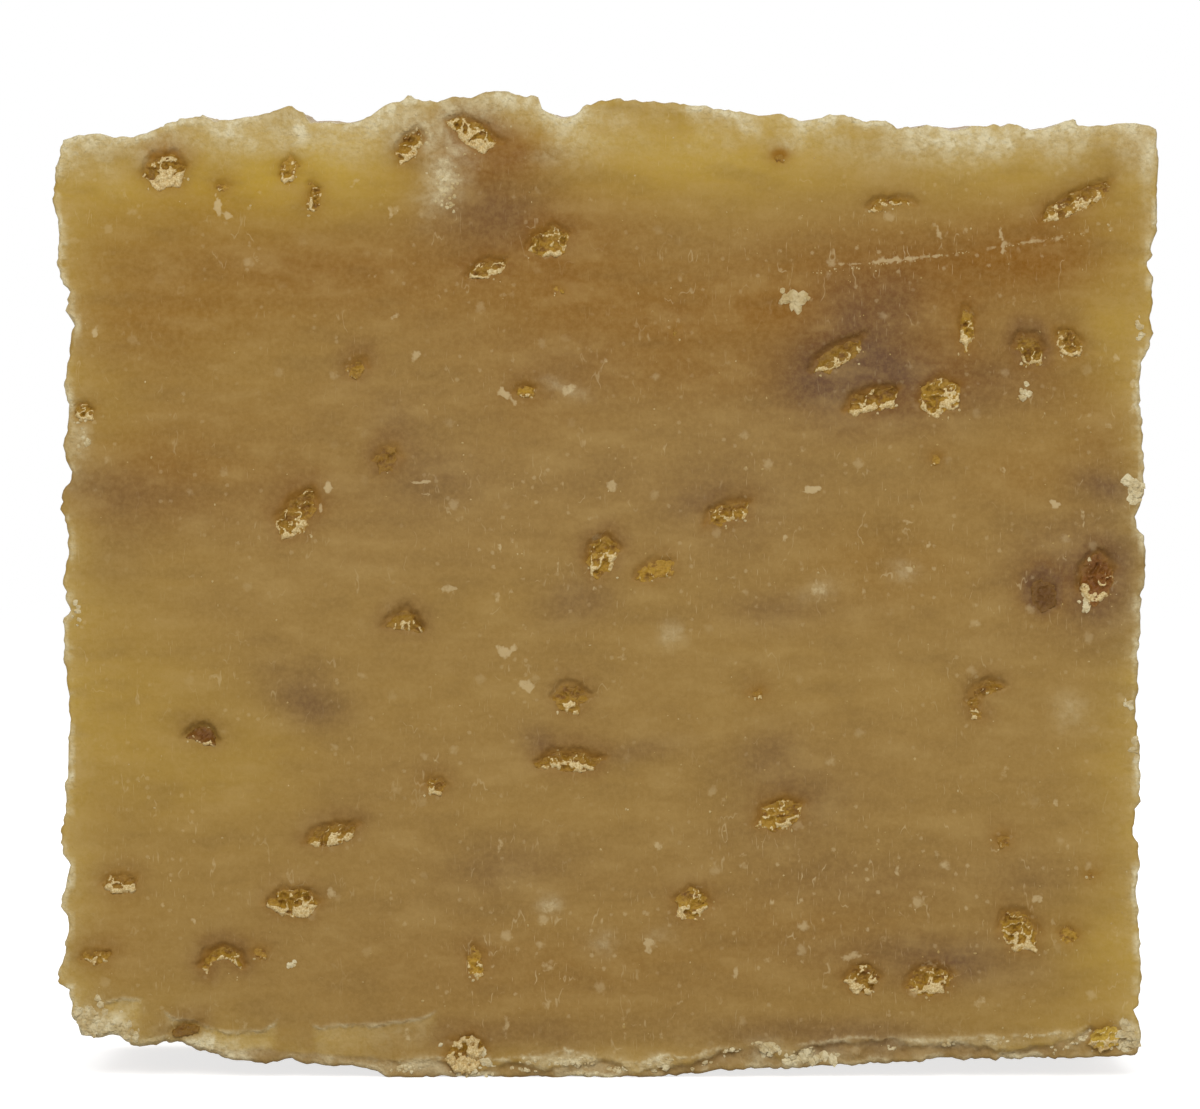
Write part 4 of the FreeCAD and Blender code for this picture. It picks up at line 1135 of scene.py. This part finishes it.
# Where crumbs gather, in pixels: across, down, radii, how many, their size in mm, how pale.
CRUMB_SPOTS = [
    (1134, 491, 7, 12, 26, 0.40, 1.0), (448, 190, 13, 22, 34, 0.14, 0.6), (420, 135, 12, 14, 20, 0.14, 0.6),
    (1131, 705, 7, 6, 14, 0.18, 0.9), (1027, 392, 5, 8, 9, 0.24, 0.9), (790, 300, 14, 7, 22, 0.34, 0.55),
    (1128, 1037, 10, 13, 22, 0.38, 0.9), (465, 1058, 18, 14, 60, 0.32, 1.0), (290, 965, 4, 3, 6, 0.16, 1.0),
    (86, 1020, 20, 18, 70, 0.28, 0.7), (120, 1034, 20, 10, 40, 0.24, 0.7),
    (766, 1050, 14, 6, 20, 0.26, 0.9), (660, 1063, 16, 5, 18, 0.24, 0.8), (812, 1059, 24, 5, 30, 0.30, 0.9),
    (575, 1062, 24, 6, 26, 0.18, 0.8), (85, 440, 6, 14, 14, 0.16, 0.8), (1086, 598, 6, 16, 24, 0.24, 0.9),
    (1096, 563, 9, 6, 16, 0.22, 0.8), (1137, 745, 5, 14, 10, 0.22, 0.8), (1140, 330, 5, 12, 8, 0.22, 0.8),
    (75, 620, 5, 20, 8, 0.2, 0.8),
]
# Scratches that left a line of crumbs: ends in pixels and how many crumbs.
CRUMB_LINES = [
    (815, 272, 975, 250, 44), (1005, 246, 1110, 228, 20), (458, 420, 470, 500, 8), (510, 470, 522, 600, 10),
]
# The broken strip has clumps of crumbs from one pixel across to another.
STRIP_CLUMPS, CLUMP_CRUMBS = 25, 6
STRIP_START, STRIP_END = 390, 1140
# Crumbs lie scattered between these pixels across and down, and most of them past the busy ones.
SCATTERED_CRUMBS = 640
SCATTER_ACROSS, SCATTER_DOWN = (70, 1140), (120, 1050)
BUSY_ACROSS, BUSY_DOWN = 600, 700
FLAKE_CRUMBS = 4
# Crumbs are flat against the face.
CRUMB_FLATNESS = 0.38


def gathered_crumbs(generator):
    """Crumbs in clumps and along scratches: places across and up, sizes, paleness."""
    for px, py, wide, tall, count, size, paleness in CRUMB_SPOTS:
        for _ in range(count):
            place = spot(px + 0.55 * wide * generator.normal(), py + 0.55 * tall * generator.normal())
            yield *place, size * generator.uniform(0.5, 1.5), paleness
    for start_x, start_y, end_x, end_y, count in CRUMB_LINES:
        for share in generator.uniform(0, 1, count):
            px = start_x + (end_x - start_x) * share + generator.normal(0, 2.5)
            py = start_y + (end_y - start_y) * share + generator.normal(0, 1.6)
            yield *spot(px, py), generator.uniform(0.03, 0.08), 0.4


def loose_crumbs(generator, flakes):
    """Crumbs that fell from the flakes, cling to the broken strip or lie scattered, told the same way."""
    for flake in flakes:
        for _ in range(int(FLAKE_CRUMBS * (0.3 + flake.cream))):
            x = flake.centre[0] + generator.uniform(-1.1, 1.1) * flake.half[0]
            z = flake.centre[1] - generator.uniform(0.2, 1.2) * flake.half[1]
            yield x, z, generator.uniform(0.05, 0.13), 0.5
    for across, down in generator.uniform(0, 1, (STRIP_CLUMPS, 2)):
        for _ in range(CLUMP_CRUMBS):
            px = STRIP_START + (STRIP_END - STRIP_START) * across + generator.normal(0, 7)
            x = spot(px, 0)[0]
            z = line_height(x, BREAK_LINE) - 1.3 * down + generator.normal(0, 0.12)
            yield x, z, generator.uniform(0.06, 0.22), 0.8
    for _ in range(SCATTERED_CRUMBS):
        px, py = generator.uniform(*SCATTER_ACROSS), generator.uniform(*SCATTER_DOWN)
        keep = 0.35 + 0.4 * (px > BUSY_ACROSS) + 0.25 * (py > BUSY_DOWN)
        if generator.uniform(0, 1) < keep:
            yield *spot(px, py), generator.uniform(0.03, 0.10), generator.uniform(0.1, 0.4)


def crumb_shape():
    """A ball of twelve corners and twenty triangles."""
    golden = (1 + math.sqrt(5)) / 2
    corners = []
    for one in (-1, 1):
        for other in (-golden, golden):
            corners += [(0, one, other), (one, other, 0), (other, 0, one)]
    corners = np.array(corners, dtype=float)
    corners /= np.linalg.norm(corners, axis=1)[:, None]
    near = np.linalg.norm(corners[:, None] - corners[None], axis=2)
    faces = []
    for a in range(12):
        for b in range(a + 1, 12):
            for c in range(b + 1, 12):
                if max(near[a, b], near[b, c], near[c, a]) < 1.2:
                    facing = np.dot(np.cross(corners[b] - corners[a], corners[c] - corners[a]), corners[a])
                    faces.append((a, b, c) if facing > 0 else (a, c, b))
    return corners, np.array(faces)


def crumbs_mesh(material, flakes, outline):
    """Small pale crumbs on the front face."""
    generator = np.random.default_rng(CRUMB_SEED)
    rows = np.array([*gathered_crumbs(generator), *loose_crumbs(generator, flakes)])
    rows = rows[signed_distance(rows[:, 0], rows[:, 1], outline) < -0.8 * rows[:, 2]]
    depth = front_depth(rows[:, 0], rows[:, 1], flakes)
    ball, ball_faces = crumb_shape()
    generator = np.random.default_rng(CRUMB_SHAPE_SEED)
    corners, faces = [], []
    for number, ((x, z, size, _), sunk) in enumerate(zip(rows, depth)):
        stretch = size * generator.uniform(0.7, 1.4, 3) * (1, CRUMB_FLATNESS, 1)
        lump = ball * stretch * generator.uniform(0.6, 1.25, (len(ball), 1))
        lump += (x, max(FRONT_Y + sunk + 0.1 * size, FRONT_Y - 0.1 + stretch[1]), z)
        corners.append(lump)
        faces.append(ball_faces + len(ball) * number)
    pale = np.repeat(rows[:, 3], len(ball))
    zero = np.zeros(len(pale))
    masks = [zero + 0.3, zero, zero, pale, zero, zero, zero]
    piece = add_piece("soap_crumbs", np.concatenate(corners), np.concatenate(faces), masks, material)
    piece.data.polygons.foreach_set("use_smooth", [False] * len(piece.data.polygons))
    return piece


# Materials

# Colours as the photograph shows them, in 8 bits.
PALETTE = {
    "body": (146, 114, 60), "honey": (184, 151, 50), "umber": (128, 82, 6), "plum": (100, 70, 46),
    "streak": (100, 72, 34), "light_swirl": (180, 150, 92), "dark_swirl": (104, 76, 34),
    "grit": (178, 146, 88), "amber": (142, 98, 20), "mark": (206, 184, 138), "pale_crust_and_edge_light": (212, 198, 158),
    "dull_skin": (144, 104, 20), "warm_skin": (174, 134, 36), "fibre": (116, 74, 6),
    "red_skin": (128, 66, 12), "skin_grain": (200, 162, 78), "dark_skin": (92, 56, 4),
    "gold_skin": (200, 168, 66), "low_crumb": (182, 148, 84), "high_crumb": (224, 204, 152),
    "veil": (152, 114, 42), "soaked": (64, 40, 14),
}


def paint(name):
    """A colour of the palette, as the linear one that a shader takes."""
    shares = np.array(PALETTE[name]) / 255
    channels = np.where(shares <= 0.04045, shares / 12.92, ((shares + 0.055) / 1.055) ** 2.4)
    return (*channels.tolist(), 1.0)


class Nodes:
    """A short way to add and link a material's nodes."""

    def __init__(self, name):
        self.material = bpy.data.materials.new(name)
        self.material.use_nodes = True
        self.tree = self.material.node_tree
        self.shader = self.tree.nodes["Principled BSDF"]

    def add(self, kind, **settings):
        node = self.tree.nodes.new(kind)
        for key, value in settings.items():
            setattr(node, key, value)
        return node

    def feed(self, socket, value):
        if isinstance(value, bpy.types.NodeSocket):
            self.tree.links.new(value, socket)
        else:
            socket.default_value = value

    def math(self, operation, *values, clamp=False):
        node = self.add("ShaderNodeMath", operation=operation, use_clamp=clamp)
        for socket, value in zip(node.inputs, values):
            self.feed(socket, value)
        return node.outputs[0]

    def times(self, first, second, **settings):
        return self.math("MULTIPLY", first, second, **settings)

    def scaled(self, value, by, plus):
        return self.math("MULTIPLY_ADD", value, by, plus)

    def larger(self, first, second, **settings):
        return self.math("MAXIMUM", first, second, **settings)

    def mix(self, amount, first, second):
        """From the first colour to the second as the amount goes from 0 to 1."""
        node = self.add("ShaderNodeMix", data_type="RGBA")
        factor, start, end = node.inputs[0], node.inputs[6], node.inputs[7]
        for socket, value in ((factor, amount), (start, first), (end, second)):
            self.feed(socket, value)
        return node.outputs[2]

    def painted(self, colour, layers):
        """A colour with layers over it, each given by its amount, the most that it covers, and its paint."""
        for amount, most, name in layers:
            colour = self.mix(self.times(amount, most), colour, paint(name))
        return colour

    def place(self, scale=(1, 1, 1), turn=(0, 0, 0)):
        """The surface's own place in millimetres, stretched or turned."""
        node = self.add("ShaderNodeMapping")
        self.feed(node.inputs["Vector"], self.add("ShaderNodeTexCoord").outputs["Object"])
        node.inputs["Scale"].default_value = [PER_METRE * part for part in scale]
        node.inputs["Rotation"].default_value = turn
        return node.outputs[0]

    def noise(self, size, detail=3.0, where=None, roughness=0.5, warp=0.0):
        """Noise from 0 to 1 with bumps of about size millimetres."""
        node = self.add("ShaderNodeTexNoise")
        self.feed(node.inputs["Vector"], where or self.place())
        node.inputs["Scale"].default_value = 1 / size
        node.inputs["Detail"].default_value = detail
        node.inputs["Roughness"].default_value = roughness
        node.inputs["Distortion"].default_value = warp
        return node.outputs["Fac"]

    def ramp(self, value, start, end):
        """A smooth step of a value, from 0 at start to 1 at end."""
        node = self.add("ShaderNodeMapRange", interpolation_type="SMOOTHSTEP")
        self.feed(node.inputs["Value"], value)
        node.inputs["From Min"].default_value = start
        node.inputs["From Max"].default_value = end
        return node.outputs[0]

    def specks(self, size, share, radius):
        """Small ragged spots: size is how far apart they lie, share how many cells have one."""
        spread = self.add("ShaderNodeTexVoronoi")
        warp = self.add("ShaderNodeVectorMath", operation="MULTIPLY_ADD")
        fuzz = self.add("ShaderNodeTexNoise")
        self.feed(fuzz.inputs["Vector"], self.place())
        fuzz.inputs["Scale"].default_value = 6 / size
        self.feed(warp.inputs[0], fuzz.outputs["Color"])
        warp.inputs[1].default_value = [size * 0.28] * 3
        self.feed(warp.inputs[2], self.place())
        self.feed(spread.inputs["Vector"], warp.outputs[0])
        spread.inputs["Scale"].default_value = 1 / size
        chance = self.add("ShaderNodeSeparateColor")
        self.feed(chance.inputs[0], spread.outputs["Color"])
        present = self.ramp(chance.outputs[0], 1 - share, 1 - share + 0.08)
        near = self.math("SUBTRACT", 1.0, self.ramp(spread.outputs["Distance"], radius * 0.35, radius))
        return self.times(present, near)

    def masks(self, layer):
        """A colour attribute's four channels."""
        attribute = self.add("ShaderNodeAttribute", attribute_name=layer)
        split = self.add("ShaderNodeSeparateColor")
        self.feed(split.inputs[0], attribute.outputs["Color"])
        return [*split.outputs[:3], attribute.outputs["Alpha"]]

    def bump(self, height, distance, strength=1.0):
        """A bump whose full height is distance metres."""
        node = self.add("ShaderNodeBump")
        self.feed(node.inputs["Height"], height)
        node.inputs["Distance"].default_value = distance
        node.inputs["Strength"].default_value = strength
        return node.outputs[0]


def soap_colour(nodes, honey, umber, plum, amber, grit):
    """The soap's colour from its masks, painted edge light and painted shade among them, with level streaks
    from the pour, soft swirls and a fine grit.
    """
    streak = nodes.noise(1.0, 3.0, nodes.place((0.06, 0.2, 0.8)), 0.62)
    swirl = nodes.noise(1.0, 2.0, nodes.place((0.24, 0.3, 0.6), (0, 0.15, 0)), 0.55)
    return nodes.painted(paint("body"), [
        (honey, 1, "honey"),
        (umber, 1, "umber"),
        (plum, 1, "plum"),
        (nodes.ramp(streak, 0.72, 0.28), 0.10, "streak"),
        (nodes.ramp(swirl, 0.48, 0.75), 0.24, "light_swirl"),
        (nodes.ramp(swirl, 0.50, 0.25), 0.20, "dark_swirl"),
        (nodes.ramp(grit, 0.30, 0.75), 0.22, "grit"),
        (amber, 1, "amber"),
    ])


def handling_marks(nodes, scuffs, worn, grit):
    """The scuffs, specks and hairlines that the knife and handling left, from 0 to 1."""
    hairs = nodes.ramp(nodes.noise(1.0, 1.0, nodes.place((10.0, 10.0, 1.1), (0, 0.08, 0)), 0.6), 0.66, 0.82)
    winding = nodes.noise(1.0, 3.0, nodes.place((0.5, 0.5, 0.2)))
    winding = nodes.math("ABSOLUTE", nodes.math("SUBTRACT", winding, 0.5))
    thread = nodes.times(nodes.ramp(winding, 0.012, 0.0), nodes.ramp(nodes.noise(1.3, 2.0), 0.55, 0.66))
    large, small = nodes.specks(2.1, 0.34, 0.24), nodes.specks(0.8, 0.40, 0.26)
    marks = 0.0
    for mark, most in ((large, 0.42), (small, 0.34), (hairs, 0.42), (thread, 0.45)):
        marks = nodes.larger(marks, nodes.times(mark, most))
    handled = nodes.ramp(nodes.noise(7.0, 2.0), 0.42, 0.62)
    marks = nodes.times(marks, nodes.scaled(worn, 0.75, nodes.scaled(handled, 0.45, 0.17)))
    rubbed = nodes.ramp(nodes.scaled(grit, 0.7, scuffs), 0.68, 0.98)
    return nodes.larger(marks, nodes.times(rubbed, nodes.scaled(scuffs, 0.6, 0.1)), clamp=True)


def soap_material():
    """Soap, crusted whitish where an edge is torn, and with painted whitish light where an edge is thin."""
    nodes = Nodes("soap")
    honey, umber, plum, pale = nodes.masks("Tone")
    amber, scuffs, worn, _ = nodes.masks("Mark")
    grit = nodes.noise(0.36, 3.0, None, 0.65)
    blotch = nodes.ramp(nodes.noise(0.9, 4.0, None, 0.65), 0.42, 0.60)
    cover = nodes.scaled(blotch, 0.5, nodes.scaled(grit, 0.9, 0.18))
    # Painted edge light and real crusts alike, from the pale mask.
    pale_crust_and_edge_light = nodes.times(pale, cover, clamp=True)
    colour = nodes.painted(soap_colour(nodes, honey, umber, plum, amber, grit), [
        (handling_marks(nodes, scuffs, worn, grit), 1, "mark"),
        (pale_crust_and_edge_light, 1, "pale_crust_and_edge_light"),
    ])
    shader = nodes.shader
    nodes.feed(shader.inputs["Base Color"], colour)
    nodes.feed(shader.inputs["Roughness"], nodes.scaled(grit, 0.2, 0.45))
    shader.inputs["IOR"].default_value = 1.4
    shader.inputs["Specular IOR Level"].default_value = 0.2
    height = nodes.times(nodes.noise(0.3, 1.0), nodes.scaled(pale, 1.6, 0.35))
    nodes.feed(shader.inputs["Normal"], nodes.bump(height, 0.00012))
    return nodes.material


def bran_material(name, soaked):
    """Grain bran. Soaked is how far the soap round it darkens it."""
    nodes = Nodes(name)
    # Cream and dark hold painted highlight and painted shade as well as the bran's pale crumb and dark skin.
    cream, dark, edge, tint = nodes.masks("Tone")
    red, gold, _, _ = nodes.masks("Mark")
    fibre = nodes.noise(0.5, 3.0, nodes.place((0.6, 1.0, 1.3)), 0.6)
    grain = nodes.noise(0.14, 3.0, None, 0.6)
    skin = nodes.painted(nodes.mix(tint, paint("dull_skin"), paint("warm_skin")), [
        (nodes.ramp(fibre, 0.42, 0.72), 1, "fibre"),
        (red, 0.7, "red_skin"),
        (nodes.ramp(grain, 0.50, 0.72), 0.35, "skin_grain"),
        (dark, 1, "dark_skin"),
        (gold, 0.7, "gold_skin"),
    ])
    crumb = nodes.mix(nodes.ramp(grain, 0.3, 0.7), paint("low_crumb"), paint("high_crumb"))
    bare = nodes.ramp(nodes.scaled(grain, 0.9, nodes.math("SUBTRACT", cream, 0.45)), 0.38, 0.62)
    colour = nodes.mix(bare, skin, crumb)
    veil = nodes.times(edge, nodes.scaled(dark, -0.4, 0.6))
    colour = nodes.mix(veil, colour, paint("veil"))
    colour = nodes.mix(soaked, colour, paint("soaked"))
    shader = nodes.shader
    nodes.feed(shader.inputs["Base Color"], colour)
    nodes.feed(shader.inputs["Roughness"], nodes.scaled(grain, 0.2, 0.45))
    shader.inputs["Specular IOR Level"].default_value = 0.35
    nodes.feed(shader.inputs["Normal"], nodes.bump(nodes.math("ADD", grain, fibre), 0.0001, 0.7))
    return nodes.material


# Stage

WHITE = (1, 1, 1, 1)
FLOOR_HALF = 3.0
FLOOR_GREY = (0.62, 0.62, 0.62, 1)
FLOOR_GLOW = 0.75
WORLD_LIGHT = 0.4
# Soft square lamps: name, place and size in metres, power in watts. All point at the bar's middle.
LAMPS = [
    ("key", (-0.16, -0.72, 0.52), 0.45, 4.2),
    ("fill", (0.50, -0.70, 0.12), 0.60, 1.7),
    ("back", (0.10, 0.55, 0.45), 0.40, 1.6),
]
LAMP_TARGET = (0, 0, 0.035)


def make_floor():
    """A plain pale floor that the camera sees as white, with the bar's soft shadow on it."""
    mesh = bpy.data.meshes.new("floor")
    sides = (-FLOOR_HALF, FLOOR_HALF)
    corners = [(x, y, 0) for x in sides for y in sides]
    mesh.from_pydata(corners, [], [(0, 2, 3, 1)])
    floor = bpy.data.objects.new("floor", mesh)
    link(floor)
    nodes = Nodes("floor")
    shader = nodes.shader
    shader.inputs["Base Color"].default_value = FLOOR_GREY
    shader.inputs["Roughness"].default_value = 0.9
    shader.inputs["Specular IOR Level"].default_value = 0.0
    path = nodes.add("ShaderNodeLightPath").outputs
    seen = nodes.larger(path["Is Camera Ray"], path["Is Glossy Ray"])
    seen = nodes.larger(seen, path["Is Transmission Ray"])
    shader.inputs["Emission Color"].default_value = WHITE
    nodes.feed(shader.inputs["Emission Strength"], nodes.times(seen, FLOOR_GLOW))
    mesh.materials.append(nodes.material)


def make_world():
    """White where the camera looks, and soft light for the object."""
    world = bpy.data.worlds.new("studio")
    bpy.context.scene.world = world
    world.use_nodes = True
    tree = world.node_tree
    background = tree.nodes["Background"]
    path = tree.nodes.new("ShaderNodeLightPath").outputs
    seen = tree.nodes.new("ShaderNodeMath")
    seen.operation = "MAXIMUM"
    tree.links.new(path["Is Camera Ray"], seen.inputs[0])
    tree.links.new(path["Is Transmission Ray"], seen.inputs[1])
    strength = tree.nodes.new("ShaderNodeMapRange")
    strength.inputs["To Min"].default_value = WORLD_LIGHT
    strength.inputs["To Max"].default_value = 1.0
    tree.links.new(seen.outputs[0], strength.inputs["Value"])
    tree.links.new(strength.outputs[0], background.inputs["Strength"])
    background.inputs["Color"].default_value = WHITE


def make_lights():
    """Plain soft studio light."""
    for name, place, size, power in LAMPS:
        light = bpy.data.lights.new(name, "AREA")
        light.size = size
        light.energy = power
        lamp = bpy.data.objects.new(name, light)
        lamp.location = place
        lamp.rotation_euler = (Vector(LAMP_TARGET) - Vector(place)).to_track_quat("-Z", "Y").to_euler()
        link(lamp)


# The camera is level and faces the front: 86.9 mm of its plane fill the 1200 pixels across.
FRAME_WIDTH, FRAME_HEIGHT = 1200, 1109
LENS, SENSOR = 150.0, 36.0
NEAREST = 0.01


def make_camera():
    """The photograph's view: the whole frame, straight on."""
    camera_data = bpy.data.cameras.new("camera")
    camera_data.lens = LENS
    camera_data.sensor_width = SENSOR
    camera = bpy.data.objects.new("camera", camera_data)
    seen_width = FRAME_WIDTH * PIXEL
    distance = seen_width * LENS / SENSOR
    x, z = spot(FRAME_WIDTH / 2, FRAME_HEIGHT / 2)
    camera.location = Vector((x, FRONT_Y - distance, z)) / PER_METRE
    camera.rotation_euler = (math.pi / 2, 0, 0)
    camera_data.clip_start = NEAREST
    link(camera)
    bpy.context.scene.camera = camera


# How dark the buried flakes are soaked, and how often a lump's triangles are cut into four.
SOAKED = 0.7
SIDE_CUTS, BURIED_CUTS = 2, 1


def main():
    """Dress the bar and its flakes, and set the stage."""
    bpy.context.scene.view_settings.view_transform = "Standard"
    soap = soap_material()
    bran, buried_bran = bran_material("bran", 0.0), bran_material("buried_bran", SOAKED)
    front_by_node = front_flakes()
    front = [flake for flakes in front_by_node.values() for flake in flakes]
    back = separate_flakes("back_flakes", BACK_Y, HIDDEN_LOOKS, FIRST_BACK_SEED)

    body, outline = soap_mesh(soap, front, back)
    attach(body, "root")
    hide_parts("soap_bar")
    crumbs = crumbs_mesh(soap, front, outline)
    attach(crumbs, "root")

    for node, flakes in front_by_node.items():
        piece = flake_mesh(f"{node}_shape", flakes, -1, FRONT_FLAKE_PITCH, bran)
        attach(piece, "root")
        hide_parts(node)
    piece = flake_mesh("back_flakes_shape", back, 1, BACK_FLAKE_PITCH, bran)
    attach(piece, "root")
    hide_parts("back_flakes")
    for node in ("left_flakes", "right_flakes", "top_flakes"):
        piece = lump_mesh(f"{node}_shape", node, SIDE_CUTS, bran)
        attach(piece, "root")
        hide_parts(node)
    piece = lump_mesh("buried_flakes_shape", "buried_flakes", BURIED_CUTS, buried_bran)
    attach(piece, "root")
    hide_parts("buried_flakes")

    make_floor()
    make_world()
    make_lights()
    make_camera()


main()
